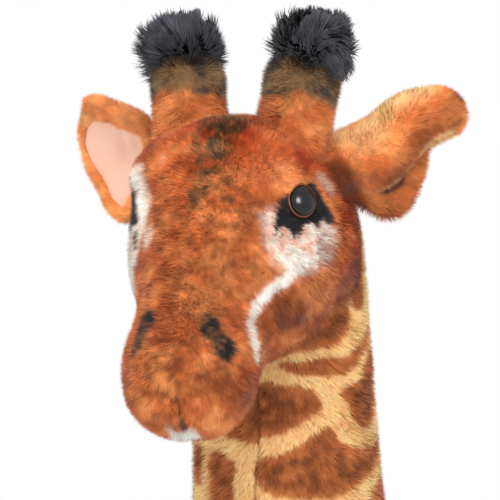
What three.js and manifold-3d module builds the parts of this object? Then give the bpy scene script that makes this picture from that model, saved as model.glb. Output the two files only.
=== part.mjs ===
// Large standing plush giraffe, in millimetres.
// +Z is up, the giraffe faces -Y and its left side is at +X. It stands on z = 0.

import * as THREE from 'three';
import { mergeVertices } from 'three/addons/utils/BufferGeometryUtils.js';
import Module from 'manifold-3d';

const wasm = await Module();
wasm.setup();

// Fits and cloth
const fit_gap = 0.3;
const overrun = 30;
const plush_thickness = 9;
const backing_thickness = 1.5;
const thinnest_section = 2;
const weld_distance = 1e-4;

// Body
const body_length = 416;
const body_width = 236;
const body_depth = 256;
const body_height = 596;

// Head: its axis runs from the crown down to the muzzle
const head_length = 281;
const head_width = 160;
const head_depth = 170;
const head_pitch_degrees = 64;
const head_rise = 509;
const head_reach = 262;

// Neck
const neck_width = 146;
const neck_depth = 162;

// Legs, hooves and soles
const leg_width = 96;
const leg_depth = 108;
const leg_spread = 138;
const hoof_height = 62;
const hoof_width = 88;
const hoof_depth = 96;
const hoof_forward_share = 0.0625;
const sole_thickness = 4;

// Ossicones, the two blunt horns, each with a tuft of long pile
const ossicone_width = 62;
const ossicone_length = 72;
const ossicone_lean_degrees = 7;
const ossicone_tilt_degrees = 9;
const tuft_width = 66;
const tuft_length = 58;

// Ears
const ear_length = 118;
const ear_width = 132;
const ear_root_radius = 16;
const ear_base_height = 6;
const lining_thickness = 1.6;

// Eyes, each a domed button on a shank, held by a lock washer
const eye_width = 23;
const eye_dome_height = 11;
const eye_shank_width = 6;
const eye_shank_length = 18;
const washer_width = 19;
const washer_thickness = 2;
const washer_clearance = 3.9;

// Mane
const mane_height = 26;
const mane_thickness = 15;

// Tail
const tail_root_radius = 17;
const tail_width = 24;
const tail_length = 225;
const tail_sweep = 44;
const tail_tuft_width = 46;
const tail_tuft_length = 100;

// Steel rods inside
const rod_width = 8;
const rod_bend_radius = 34;
const rod_end_cover = 26;

// Colours
const coat_colour = 0xc4683a;
const dark_coat_colour = 0x94482a;
const neck_colour = 0xd39a5c;
const mane_colour = 0x9c5a34;
const black_colour = 0x202024;
const hoof_colour = 0x4a3428;
const sole_colour = 0x3a2c24;
const lining_colour = 0xeccebf;
const filling_colour = 0xf1efe9;
const steel_colour = 0x8d9094;
const plastic_colour = 0xd8d8d4;

const plush = (colour) =>
  new THREE.MeshStandardMaterial({ color: colour, roughness: 0.95, metalness: 0 });
const felt = new THREE.MeshStandardMaterial({ color: lining_colour, roughness: 0.9, metalness: 0 });
const filling = new THREE.MeshStandardMaterial({ color: filling_colour, roughness: 1, metalness: 0 });
const steel = new THREE.MeshStandardMaterial({ color: steel_colour, roughness: 0.4, metalness: 0.9 });
const glossy_black = new THREE.MeshStandardMaterial({ color: black_colour, roughness: 0.06, metalness: 0 });
const plastic = new THREE.MeshStandardMaterial({ color: plastic_colour, roughness: 0.5, metalness: 0 });

const x_axis = new THREE.Vector3(1, 0, 0);
const y_axis = new THREE.Vector3(0, 1, 0);
const z_axis = new THREE.Vector3(0, 0, 1);
const vec = (x, y, z) => new THREE.Vector3(x, y, z);
const radians = (degrees) => THREE.MathUtils.degToRad(degrees);

// Turns a closed three.js geometry into a solid that can be cut and joined
function solid(geometry) {
  const bare = geometry.clone();
  bare.deleteAttribute('normal');
  bare.deleteAttribute('uv');
  const merged = mergeVertices(bare, weld_distance);
  return new wasm.Manifold(new wasm.Mesh({
    numProp: 3,
    vertProperties: new Float32Array(merged.attributes.position.array),
    triVerts: new Uint32Array(merged.index.array),
  }));
}

// Turns a solid back into a named mesh
function piece(name, shape, material) {
  const mesh = shape.getMesh();
  const geometry = new THREE.BufferGeometry();
  geometry.setAttribute('position', new THREE.BufferAttribute(mesh.vertProperties, mesh.numProp));
  geometry.setIndex(new THREE.BufferAttribute(mesh.triVerts, 1));
  const result = new THREE.Mesh(geometry, material);
  result.name = name;
  return result;
}

function cut(shape, ...cutters) {
  return cutters.reduce((left, cutter) => left.subtract(cutter), shape);
}

// Skins a closed form over rings of points; both ends are closed by a fan
function skin_over(rings) {
  const sides = rings[0].length;
  const points = rings.flat();
  const triangles = [];
  for (let ring = 0; ring + 1 < rings.length; ring += 1) {
    for (let side = 0; side < sides; side += 1) {
      const next = (side + 1) % sides;
      const a = ring * sides + side;
      const b = ring * sides + next;
      const c = a + sides;
      const d = b + sides;
      triangles.push(a, b, d, a, d, c);
    }
  }
  for (const [start, flip] of [[0, true], [(rings.length - 1) * sides, false]]) {
    const middle = vec(0, 0, 0);
    for (let side = 0; side < sides; side += 1) middle.add(points[start + side]);
    points.push(middle.divideScalar(sides));
    const hub = points.length - 1;
    for (let side = 0; side < sides; side += 1) {
      const a = start + side;
      const b = start + (side + 1) % sides;
      triangles.push(...(flip ? [b, a, hub] : [a, b, hub]));
    }
  }
  const geometry = new THREE.BufferGeometry();
  geometry.setAttribute('position', new THREE.Float32BufferAttribute(points.flatMap((p) => [p.x, p.y, p.z]), 3));
  geometry.setIndex(triangles);
  const shape = solid(geometry);
  if (shape.volume() > 0) return shape;
  geometry.setIndex(triangles.reverse());
  return solid(geometry);
}

// A form through elliptic sections. Each section has a centre, two directions and two half sizes.
// grow moves the surface out, or in where it is negative, and the ends with it.
// reach lengthens the two ends instead, for a cutter that has to leave them open.
function loft(sections, sides, grow = 0, reach = [0, 0]) {
  const first = sections[0].centre;
  const last = sections[sections.length - 1].centre;
  const length = first.distanceTo(last);
  const middle = first.clone().lerp(last, 0.5);
  const lengthwise = last.clone().sub(first).normalize();
  const stretch = (length + 2 * grow) / length - 1;
  const rings = sections.map(({ centre, across, deep, half_across, half_deep }, index) => {
    const moved = centre.clone();
    if (reach[0] === 0 && reach[1] === 0) {
      moved.addScaledVector(lengthwise, centre.clone().sub(middle).dot(lengthwise) * stretch);
    }
    if (index === 0) moved.addScaledVector(lengthwise, -reach[0]);
    if (index === sections.length - 1) moved.addScaledVector(lengthwise, reach[1]);
    const a = Math.max(half_across + grow, thinnest_section);
    const b = Math.max(half_deep + grow, thinnest_section);
    return Array.from({ length: sides }, (_, side) => {
      const turn = (side / sides) * 2 * Math.PI;
      return moved.clone()
        .addScaledVector(across, a * Math.cos(turn))
        .addScaledVector(deep, b * Math.sin(turn));
    });
  });
  return skin_over(rings);
}

// A round bar or channel through points of its middle line, which lies flat across one direction
function bar(points, across, radius, sides = 8) {
  const rings = points.map((point, index) => {
    const before = points[Math.max(index - 1, 0)];
    const after = points[Math.min(index + 1, points.length - 1)];
    const along = after.clone().sub(before).normalize();
    const deep = along.clone().cross(across);
    return Array.from({ length: sides }, (_, side) => {
      const turn = (side / sides) * 2 * Math.PI;
      return point.clone()
        .addScaledVector(across, radius * Math.cos(turn))
        .addScaledVector(deep, radius * Math.sin(turn));
    });
  });
  return skin_over(rings);
}

// A faceted ball, and a socket whose flats clear the ball's corners however it is turned
const ball_sides = 16;
const ball_rows = 10;
function ball(centre, radius) {
  return solid(new THREE.SphereGeometry(radius, ball_sides, ball_rows).translate(centre.x, centre.y, centre.z));
}
function socket(centre, radius) {
  const flat_share = Math.cos(Math.PI / ball_sides) * Math.cos(Math.PI / (2 * ball_rows));
  return ball(centre, (radius + fit_gap) / flat_share);
}

// A turned form from its profile, with its axis along direction and its origin at place
function turned(profile, sides, place, direction) {
  const geometry = new THREE.LatheGeometry(profile.map(([r, h]) => new THREE.Vector2(r, h)), sides);
  const spin = new THREE.Quaternion().setFromUnitVectors(y_axis, direction);
  geometry.applyQuaternion(spin).translate(place.x, place.y, place.z);
  const shape = solid(geometry);
  if (shape.volume() > 0) return shape;
  const index = geometry.index.array;
  geometry.setIndex(Array.from(index).reverse());
  return solid(geometry);
}

// Body: sections from the chest to the rump, as shares of its length, depth and width
// Each row holds the place along the body, the rise of the middle, the half width and the half depth
const body_shares = [
  [-0.500, 0.060, 0.050, 0.050],
  [-0.475, 0.055, 0.230, 0.240],
  [-0.405, 0.050, 0.370, 0.390],
  [-0.290, 0.040, 0.460, 0.480],
  [-0.130, 0.022, 0.495, 0.500],
  [0.050, 0.002, 0.500, 0.492],
  [0.210, -0.022, 0.492, 0.476],
  [0.345, -0.045, 0.450, 0.436],
  [0.445, -0.068, 0.340, 0.340],
  [0.487, -0.080, 0.205, 0.215],
  [0.500, -0.085, 0.050, 0.050],
];
const body_sections = body_shares.map(([along_share, rise_share, width_share, depth_share]) => ({
  centre: vec(0, along_share * body_length, body_height + rise_share * body_depth),
  across: x_axis,
  deep: z_axis,
  half_across: width_share * body_width,
  half_deep: depth_share * body_depth,
}));
const body_form = (grow) => loft(body_sections, 18, grow);
const body_outside = body_form(0);
const body_clear = body_form(fit_gap);
const body_inside = body_form(-plush_thickness);

// Head: a place on it is given by shares along its axis, out of its face and to its left
const skull = vec(0, -head_reach, body_height + head_rise);
const head_along = vec(0, -Math.cos(radians(head_pitch_degrees)), -Math.sin(radians(head_pitch_degrees)));
const head_out = vec(0, -Math.sin(radians(head_pitch_degrees)), Math.cos(radians(head_pitch_degrees)));
const on_head = (along_share, out_share, side_share) => skull.clone()
  .addScaledVector(head_along, along_share * head_length)
  .addScaledVector(head_out, out_share * head_depth)
  .addScaledVector(x_axis, side_share * head_width);

// Each row holds the place along the head, the front of the face, the underside and the half width
const head_shares = [
  [-0.226, -0.020, -0.200, 0.070],
  [-0.205, 0.080, -0.385, 0.250],
  [-0.150, 0.235, -0.570, 0.385],
  [-0.070, 0.335, -0.750, 0.480],
  [0.030, 0.375, -0.895, 0.518],
  [0.130, 0.380, -0.955, 0.530],
  [0.225, 0.370, -0.940, 0.515],
  [0.310, 0.360, -0.810, 0.460],
  [0.390, 0.348, -0.570, 0.370],
  [0.460, 0.342, -0.370, 0.330],
  [0.540, 0.340, -0.280, 0.330],
  [0.620, 0.320, -0.260, 0.332],
  [0.690, 0.255, -0.215, 0.300],
  [0.740, 0.160, -0.150, 0.225],
  [0.770, 0.040, -0.060, 0.070],
];
const head_sections = head_shares.map(([along_share, front_share, under_share, width_share]) => ({
  centre: on_head(along_share, (front_share + under_share) / 2, 0),
  across: x_axis,
  deep: head_out,
  half_across: width_share * head_width,
  half_deep: ((front_share - under_share) / 2) * head_depth,
}));
const head_form = (grow) => loft(head_sections, 20, grow);
const head_outside = head_form(0);
const head_clear = head_form(fit_gap);
const head_inside = head_form(-plush_thickness);

// Neck: its middle line runs from inside the body to inside the skull
const neck_foot = vec(0, -0.24 * body_length, body_height + 0.09 * body_depth);
const neck_top = on_head(-0.060, -0.215, 0);
const neck_place = (reach_share, rise_share) => vec(
  0,
  neck_foot.y + reach_share * (neck_top.y - neck_foot.y),
  neck_foot.z + rise_share * (neck_top.z - neck_foot.z),
);
// Each row holds the reach and the rise along that line, the half width, the half depth and the lean
const neck_shares = [
  [0.000, 0.000, 0.480, 0.500, 0.04],
  [0.120, 0.130, 0.590, 0.610, 0.10],
  [0.200, 0.230, 0.590, 0.610, 0.13],
  [0.330, 0.340, 0.550, 0.550, 0.14],
  [0.430, 0.480, 0.508, 0.505, 0.13],
  [0.520, 0.660, 0.488, 0.475, 0.11],
  [0.610, 0.820, 0.480, 0.462, 0.16],
  [0.690, 0.900, 0.478, 0.460, 0.32],
  [0.800, 0.965, 0.450, 0.430, 0.60],
  [1.000, 1.020, 0.330, 0.300, 1.00],
];
const neck_sections = neck_shares.map(([reach_share, rise_share, width_share, depth_share, lean]) => ({
  centre: neck_place(reach_share, rise_share),
  across: x_axis,
  deep: vec(0, Math.cos(lean), Math.sin(lean)),
  half_across: width_share * neck_width,
  half_deep: depth_share * neck_depth,
}));
const neck_form = (grow) => loft(neck_sections, 16, grow, grow < 0 ? [plush_thickness, plush_thickness] : [0, 0]);
const neck_outside = neck_form(0);
const neck_clear = neck_form(fit_gap);
const neck_inside = neck_form(-plush_thickness);

// Legs: each row holds the height, the half width, the half depth and a shift to the rear
const front_leg_shares = [
  [1.010, 0.220, 0.300, 0.000],
  [0.950, 0.400, 0.480, 0.000],
  [0.870, 0.480, 0.540, 0.000],
  [0.780, 0.480, 0.500, 0.000],
  [0.640, 0.420, 0.430, 0.010],
  [0.530, 0.410, 0.420, 0.015],
  [0.420, 0.385, 0.385, 0.010],
  [0.250, 0.370, 0.365, 0.000],
  [0.104, 0.385, 0.385, 0.000],
];
const rear_leg_shares = [
  [1.000, 0.220, 0.400, -0.060],
  [0.940, 0.400, 0.600, -0.040],
  [0.860, 0.490, 0.670, -0.010],
  [0.770, 0.480, 0.580, 0.010],
  [0.640, 0.430, 0.470, 0.030],
  [0.530, 0.410, 0.420, 0.050],
  [0.420, 0.385, 0.385, 0.040],
  [0.250, 0.370, 0.365, 0.010],
  [0.104, 0.385, 0.385, 0.000],
];
const legs = [
  { name: 'front_left', side: 1, along_share: -0.290, shares: front_leg_shares },
  { name: 'front_right', side: -1, along_share: -0.290, shares: front_leg_shares },
  { name: 'rear_left', side: 1, along_share: 0.330, shares: rear_leg_shares },
  { name: 'rear_right', side: -1, along_share: 0.330, shares: rear_leg_shares },
];
// Each row holds the height within the hoof, and its half width and half depth
const hoof_shares = [
  [1.00, 0.430, 0.440],
  [0.60, 0.480, 0.480],
  [0.20, 0.500, 0.500],
  [0.00, 0.490, 0.490],
];
for (const leg of legs) {
  leg.x = (leg.side * leg_spread) / 2;
  leg.y = leg.along_share * body_length;
  leg.sections = leg.shares.map(([height_share, width_share, depth_share, shift_share]) => ({
    centre: vec(
      leg.x,
      leg.y + shift_share * leg_depth,
      height_share > 0.2 ? height_share * body_height : hoof_height,
    ),
    across: x_axis,
    deep: y_axis,
    half_across: width_share * leg_width,
    half_deep: depth_share * leg_depth,
  }));
  leg.outside = loft(leg.sections, 12);
  leg.inside = loft(leg.sections, 12, -plush_thickness, [plush_thickness, hoof_height + overrun]);
  leg.hoof = loft(hoof_shares.map(([height_share, width_share, depth_share]) => ({
    centre: vec(
      leg.x,
      leg.y - (1 - height_share) * hoof_forward_share * hoof_depth,
      sole_thickness + fit_gap + height_share * (hoof_height - sole_thickness - 2 * fit_gap),
    ),
    across: x_axis,
    deep: y_axis,
    half_across: width_share * hoof_width,
    half_deep: depth_share * hoof_depth,
  })), 12);
  leg.ground = vec(leg.x, leg.y - hoof_forward_share * hoof_depth, 0);
}
const below_soles = solid(new THREE.BoxGeometry(4 * body_width, 4 * body_length, hoof_height)
  .translate(0, 0, sole_thickness + fit_gap - hoof_height / 2));

// Steel rods: one bent rod along the back and up the neck, and one bow through each pair of legs
const rod_radius = rod_width / 2;
const bow_height = body_height;
const spine_height = bow_height + rod_width + fit_gap;
function quarter_bend(corner, from, to, radius, steps = 4) {
  const start = corner.clone().addScaledVector(from, -radius);
  const centre = start.clone().addScaledVector(to, radius);
  return Array.from({ length: steps + 1 }, (_, step) => {
    const turn = ((step / steps) * Math.PI) / 2;
    return centre.clone()
      .addScaledVector(to, -radius * Math.cos(turn))
      .addScaledVector(from, radius * Math.sin(turn));
  });
}
const bow_points = (along_share) => {
  const y = along_share * body_length;
  const x = leg_spread / 2;
  const low = sole_thickness + rod_end_cover;
  return [
    vec(x, y, low),
    ...quarter_bend(vec(x, y, bow_height), z_axis, vec(-1, 0, 0), rod_bend_radius),
    ...quarter_bend(vec(-x, y, bow_height), vec(-1, 0, 0), vec(0, 0, -1), rod_bend_radius),
    vec(-x, y, low),
  ];
};
const spine_back = 0.360 * body_length;
const neck_rod_shares = [
  [0.330, 0.340],
  [0.520, 0.660],
  [0.690, 0.900],
  [0.930, 0.970],
];
const spine_points = [
  vec(0, spine_back, spine_height),
  vec(0, neck_foot.y + 2 * rod_bend_radius, spine_height),
  vec(0, neck_foot.y + rod_bend_radius, spine_height + rod_bend_radius / 3),
  vec(0, neck_foot.y, spine_height + rod_bend_radius),
  ...neck_rod_shares.map(([reach_share, rise_share]) => neck_place(reach_share, rise_share)),
];
const rods = {
  spine_rod: bar(spine_points, x_axis, rod_radius),
  front_leg_rod: bar(bow_points(legs[0].along_share), y_axis, rod_radius),
  rear_leg_rod: bar(bow_points(legs[2].along_share), y_axis, rod_radius),
};
const channel_radius = rod_radius + fit_gap;
const channels = [
  bar(spine_points, x_axis, channel_radius),
  bar(bow_points(legs[0].along_share), y_axis, channel_radius),
  bar(bow_points(legs[2].along_share), y_axis, channel_radius),
];
const spine_channel = channels[0];

// Eyes: seated in the pile, with the shank through the backing cloth
const eye_radius = eye_width / 2;
const shank_radius = eye_shank_width / 2;
const eye_seat = plush_thickness - backing_thickness;
const eyes = [1, -1].map((side) => ({
  side,
  name: side > 0 ? 'left' : 'right',
  place: on_head(0.087, 0.070, side * 0.445),
  facing: vec(side * 0.86, -0.48, 0.15).normalize(),
}));
function dome_profile(radius, height, base, shank, shank_end, steps = 5) {
  const arc = Array.from({ length: steps + 1 }, (_, step) => {
    const turn = ((step / steps) * Math.PI) / 2;
    return [radius * Math.cos(turn), base + height * Math.sin(turn)];
  });
  arc[steps][0] = 0;
  return [[0, shank_end], [shank, shank_end], [shank, base], ...arc];
}
for (const eye of eyes) {
  const shank_end = -eye_shank_length;
  eye.shape = turned(
    dome_profile(eye_radius, eye_dome_height, -eye_seat, shank_radius, shank_end), 12, eye.place, eye.facing);
  eye.pocket = turned([
    [0, shank_end - fit_gap],
    [shank_radius + fit_gap, shank_end - fit_gap],
    [shank_radius + fit_gap, -eye_seat - fit_gap],
    [eye_radius + fit_gap, -eye_seat - fit_gap],
    [eye_radius + fit_gap, overrun],
    [0, overrun],
  ], 12, eye.place, eye.facing);
  const washer_top = -plush_thickness - washer_clearance;
  const washer_radius = washer_width / 2;
  eye.washer = turned([
    [shank_radius + fit_gap, washer_top],
    [washer_radius, washer_top],
    [washer_radius, washer_top - washer_thickness],
    [shank_radius + fit_gap, washer_top - washer_thickness],
    [shank_radius + fit_gap, washer_top],
  ], 12, eye.place, eye.facing);
  eye.washer_pocket = turned([
    [0, shank_end - fit_gap],
    [shank_radius + fit_gap, shank_end - fit_gap],
    [shank_radius + fit_gap, washer_top - washer_thickness - fit_gap],
    [washer_radius + fit_gap, washer_top - washer_thickness - fit_gap],
    [washer_radius + fit_gap, overrun],
    [0, overrun],
  ], 12, eye.place, eye.facing);
}

// Ossicones: columns that stand on the head, each under a cap of long pile
// Each row holds the height along the column and the half width
const ossicone_shares = [
  [-0.36, 0.530],
  [0.00, 0.520],
  [0.45, 0.490],
  [0.75, 0.500],
  [0.92, 0.420],
  [1.00, 0.180],
];
const tuft_shares = [
  [-0.34, 0.300],
  [-0.26, 0.420],
  [-0.08, 0.490],
  [0.18, 0.500],
  [0.40, 0.430],
  [0.56, 0.290],
  [0.66, 0.080],
];
const ossicones = [1, -1].map((side) => {
  const foot = on_head(-0.145, 0.005, side * 0.280);
  const lean = radians(ossicone_lean_degrees);
  const up = vec(side * Math.sin(lean), Math.sin(radians(ossicone_tilt_degrees)), Math.cos(lean)).normalize();
  const across = vec(Math.cos(lean), 0, -side * Math.sin(lean)).normalize();
  const deep = up.clone().cross(across).normalize();
  const column = (grow) => loft(ossicone_shares.map(([height_share, width_share]) => ({
    centre: foot.clone().addScaledVector(up, height_share * ossicone_length),
    across,
    deep,
    half_across: width_share * ossicone_width,
    half_deep: width_share * ossicone_width,
  })), 12, grow);
  const tuft = loft(tuft_shares.map(([height_share, width_share]) => ({
    centre: foot.clone().addScaledVector(up, ossicone_length + height_share * tuft_length),
    across,
    deep,
    half_across: width_share * tuft_width,
    half_deep: width_share * tuft_width,
  })), 12);
  return { side, name: side > 0 ? 'left' : 'right', column: column(0), clear: column(fit_gap), tuft };
});

// Ears: a leaf of plush on a gathered root that lies in the head. Across its length the leaf is an arc,
// with a wall that runs straight on from the arc's back end and a flap creased outward from its front end.
// Each row holds the place along the ear, the middle of the arc toward the rib and toward the low edge,
// the radius, the turns back and forward in half turns, and the lengths of the wall and the flap
const rolled_ear_shares = [
  [0.00, 0.000, 0.010, 0.060, 1.000, 0.306, 0.040, 0.080],
  [0.07, 0.000, 0.020, 0.095, 1.000, 0.306, 0.120, 0.180],
  [0.18, 0.000, 0.000, 0.135, 1.000, 0.306, 0.180, 0.260],
  [0.30, 0.000, -0.030, 0.140, 1.000, 0.306, 0.190, 0.270],
  [0.43, 0.000, -0.060, 0.135, 1.000, 0.306, 0.190, 0.250],
  [0.56, 0.000, -0.085, 0.125, 1.000, 0.306, 0.180, 0.190],
  [0.67, 0.000, -0.090, 0.112, 1.000, 0.306, 0.170, 0.090],
  [0.79, 0.000, -0.085, 0.092, 1.000, 0.306, 0.130, 0.030],
  [0.91, 0.000, -0.065, 0.072, 1.000, 0.306, 0.090, 0.020],
  [1.00, 0.000, -0.040, 0.045, 1.000, 0.306, 0.030, 0.010],
];
const open_ear_shares = [
  [0.00, -0.080, 0.020, 0.080, 0.333, 0.222, 0.010, 0.050],
  [0.07, -0.260, 0.020, 0.260, 0.260, 0.244, 0.010, 0.120],
  [0.16, -0.380, 0.000, 0.380, 0.289, 0.256, 0.010, 0.220],
  [0.29, -0.400, 0.000, 0.400, 0.289, 0.256, 0.010, 0.240],
  [0.44, -0.400, 0.000, 0.400, 0.289, 0.256, 0.010, 0.180],
  [0.60, -0.400, 0.000, 0.400, 0.278, 0.244, 0.010, 0.070],
  [0.74, -0.400, 0.000, 0.400, 0.256, 0.211, 0.010, 0.020],
  [0.86, -0.400, 0.000, 0.400, 0.211, 0.156, 0.010, 0.010],
  [0.97, -0.400, 0.000, 0.400, 0.122, 0.067, 0.010, 0.010],
];
const ear_settings = [
  {
    side: 1,
    name: 'left',
    shares: rolled_ear_shares,
    tip: vec(0.84, 0.36, 0.40),
    rib: vec(0.42, -0.91, 0.00),
  },
  {
    side: -1,
    name: 'right',
    shares: open_ear_shares,
    tip: vec(-0.87, 0.30, 0.28),
    rib: vec(-0.05, 0.96, 0.25),
  },
];
const ear_steps = 8;
const flap_turn_share = 0.113;

// The lining side of one row of the leaf, from the wall to the flap, with the way out at each point
function ear_path(ear, row) {
  const [along_share, rib_share, low_share, radius_share, back_share, front_share, wall_share, flap_share] = row;
  const out = (turn) => ear.rib.clone().multiplyScalar(Math.cos(turn)).addScaledVector(ear.low, Math.sin(turn));
  const onward = (turn) => out(turn + Math.PI / 2);
  const middle = ear.root.clone()
    .addScaledVector(ear.tip, ear_base_height + along_share * (ear_length - ear_base_height))
    .addScaledVector(ear.rib, rib_share * ear_width)
    .addScaledVector(ear.low, low_share * ear_width);
  const back = -back_share * Math.PI;
  const front = front_share * Math.PI;
  const arc = Array.from({ length: ear_steps + 1 }, (_, step) => {
    const turn = back + ((front - back) * step) / ear_steps;
    return { point: middle.clone().addScaledVector(out(turn), radius_share * ear_width), out: out(turn) };
  });
  const crease = flap_share / (flap_share + plush_thickness / ear_width);
  const flap_turn = front + crease * (flap_turn_share * Math.PI - front);
  const wall = [1, 0.5].map((share) => ({
    point: arc[0].point.clone().addScaledVector(onward(back), -share * wall_share * ear_width),
    out: out(back),
  }));
  const flap = [0.5, 1].map((share) => ({
    point: arc[ear_steps].point.clone().addScaledVector(onward(flap_turn), share * flap_share * ear_width),
    out: out(flap_turn),
  }));
  return [...wall, ...arc, ...flap];
}
function ear_sheet(ear, near, far, edge_steps, rows, inward) {
  const rings = rows.map((row) => {
    const path = ear_path(ear, row);
    const kept = path.slice(edge_steps, path.length - edge_steps);
    const outer = kept.map(({ point, out }) => point.clone().addScaledVector(out, far));
    const inner = kept.map(({ point, out }) => point.clone().addScaledVector(out, near)).reverse();
    const ring = [...outer, ...inner];
    return inward ? ring.reverse() : ring;
  });
  return strip_over(rings);
}

// Skins a bent strip whose rings are an outer and an inner row of points, so its ends are flat
function strip_over(rings) {
  const sides = rings[0].length;
  const points = rings.flat();
  const triangles = [];
  for (let ring = 0; ring + 1 < rings.length; ring += 1) {
    for (let side = 0; side < sides; side += 1) {
      const a = ring * sides + side;
      const b = ring * sides + (side + 1) % sides;
      triangles.push(a, b, b + sides, a, b + sides, a + sides);
    }
  }
  for (const [start, flip] of [[0, true], [(rings.length - 1) * sides, false]]) {
    for (let side = 0; side + 1 < sides / 2; side += 1) {
      const a = start + side;
      const b = start + side + 1;
      const c = start + sides - 2 - side;
      const d = start + sides - 1 - side;
      const faces = [a, b, c, a, c, d];
      triangles.push(...(flip ? faces.reverse() : faces));
    }
  }
  const geometry = new THREE.BufferGeometry();
  geometry.setAttribute('position', new THREE.Float32BufferAttribute(points.flatMap((p) => [p.x, p.y, p.z]), 3));
  geometry.setIndex(triangles);
  const shape = solid(geometry);
  if (shape.volume() > 0) return shape;
  geometry.setIndex(triangles.reverse());
  return solid(geometry);
}
for (const ear of ear_settings) {
  ear.root = on_head(-0.099, -0.162, ear.side * 0.452);
  ear.tip.normalize();
  ear.rib.addScaledVector(ear.tip, -ear.rib.dot(ear.tip)).normalize();
  ear.low = ear.tip.clone().cross(ear.rib).normalize();
  const sheet = ear_sheet(ear, 0, plush_thickness, 0, ear.shares, false);
  ear.back = sheet.add(ball(ear.root, ear_root_radius));
  ear.socket = socket(ear.root, ear_root_radius);
  ear.lining = ear_sheet(ear, -fit_gap - lining_thickness, -fit_gap, 1, ear.shares.slice(2, -1), true);
}

// Mane: a crest along the nape, from the withers to the crown
// Each row holds the neck section that it stands on and the share of its full height there
const mane_shares = [
  [2, 0.25],
  [3, 0.75],
  [4, 1.00],
  [5, 1.00],
  [6, 1.00],
  [7, 1.00],
  [8, 0.95],
];
const mane_sections = mane_shares.map(([index, height_share]) => {
  const { centre, deep, half_deep } = neck_sections[index];
  const height = height_share * mane_height;
  return {
    centre: centre.clone().addScaledVector(deep, half_deep + (height - plush_thickness) / 2),
    across: x_axis,
    deep,
    half_across: mane_thickness / 2,
    half_deep: (height + plush_thickness) / 2,
  };
});
mane_sections.push({
  centre: on_head(-0.200, -0.330, 0),
  across: x_axis,
  deep: head_along.clone().multiplyScalar(-1),
  half_across: mane_thickness / 2,
  half_deep: mane_height,
});
const mane_form = loft(mane_sections, 10);

// Tail: a plush cord on a gathered root, with a tuft of long pile at its end
const tail_root = vec(0, 0.482 * body_length, body_height + 0.125 * body_depth);
// Each row holds the place down the tail and how far it has swept to the rear
const tail_shares = [
  [0.00, 0.20],
  [0.03, 0.46],
  [0.12, 0.62],
  [0.35, 0.80],
  [0.70, 1.00],
  [1.00, 1.00],
];
const tail_places = tail_shares.map(([along_share, sweep_share]) =>
  tail_root.clone().add(vec(0, sweep_share * tail_sweep, -along_share * tail_length)));
const tail_cord = bar(tail_places, x_axis, tail_width / 2, 10).add(ball(tail_root, tail_root_radius));
const tail_tuft_shares = [
  [0.00, 0.300],
  [0.12, 0.440],
  [0.40, 0.500],
  [0.70, 0.420],
  [0.90, 0.240],
  [1.00, 0.080],
];
const tail_end = tail_places[tail_places.length - 1].clone().add(vec(0, 0, -fit_gap));
const tail_tuft = loft(tail_tuft_shares.map(([along_share, width_share]) => ({
  centre: tail_end.clone().add(vec(0, 0, -along_share * tail_tuft_length)),
  across: x_axis,
  deep: y_axis,
  half_across: width_share * tail_tuft_width,
  half_deep: width_share * tail_tuft_width,
})), 12);
const tail_socket = socket(tail_root, tail_root_radius);

// The giraffe
const giraffe = new THREE.Group();
const add = (name, shape, material) => giraffe.add(piece(name, shape, material));

const ear_sockets = ear_settings.map((ear) => ear.socket);
const eye_pockets = eyes.map((eye) => eye.pocket);
const washer_pockets = eyes.map((eye) => eye.washer_pocket);
const leg_insides = legs.map((leg) => leg.inside);

add('body_skin', cut(body_outside, body_inside, neck_inside, ...leg_insides, tail_socket), plush(coat_colour));
add('body_filling', cut(body_form(-plush_thickness - fit_gap), ...channels, tail_socket), filling);

add('neck_skin', cut(neck_outside, neck_inside, body_clear, head_clear, ...ear_sockets), plush(neck_colour));
add('neck_filling', cut(
  neck_form(-plush_thickness - fit_gap), body_inside, head_inside, spine_channel, ...ear_sockets), filling);

add('head_skin', cut(head_outside, head_inside, neck_inside, ...eye_pockets, ...ear_sockets), plush(coat_colour));
add('head_filling', cut(
  head_form(-plush_thickness - fit_gap),
  spine_channel, ...eye_pockets, ...washer_pockets, ...ear_sockets), filling);

for (const leg of legs) {
  const leg_core = loft(leg.sections, 12, -plush_thickness - fit_gap, [plush_thickness, hoof_height + overrun]);
  const channel = leg.along_share < 0 ? channels[1] : channels[2];
  add(`leg_skin_${leg.name}`, cut(leg.outside, leg.inside, body_clear, neck_clear), plush(dark_coat_colour));
  add(`leg_filling_${leg.name}`, cut(leg_core, body_inside, below_soles, channel), filling);
  add(`hoof_${leg.name}`, cut(leg.hoof, leg.inside), plush(hoof_colour));
  add(`sole_${leg.name}`, turned([
    [0, 0],
    [hoof_width / 2, 0],
    [hoof_width / 2, sole_thickness],
    [0, sole_thickness],
  ], 12, leg.ground, z_axis), plush(sole_colour));
}

for (const ossicone of ossicones) {
  add(`ossicone_${ossicone.name}`, cut(ossicone.column, head_clear, ...ear_sockets), plush(coat_colour));
  add(`ossicone_tuft_${ossicone.name}`, cut(ossicone.tuft, ossicone.clear), plush(black_colour));
}

for (const ear of ear_settings) {
  add(`ear_${ear.name}`, ear.back, plush(coat_colour));
  add(`ear_lining_${ear.name}`, ear.lining, felt);
}

for (const eye of eyes) {
  add(`eye_${eye.name}`, eye.shape, glossy_black);
  add(`eye_washer_${eye.name}`, eye.washer, plastic);
}

add('mane', cut(mane_form, neck_clear, head_clear, body_clear), plush(mane_colour));
add('tail_cord', tail_cord, plush(dark_coat_colour));
add('tail_tuft', tail_tuft, plush(black_colour));
for (const [name, shape] of Object.entries(rods)) add(name, shape, steel);

// The origin is on the floor, under the middle of the whole
const extent = new THREE.Box3().setFromObject(giraffe);
giraffe.position.set(-(extent.min.x + extent.max.x) / 2, -(extent.min.y + extent.max.y) / 2, -extent.min.z);

export default giraffe;
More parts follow.
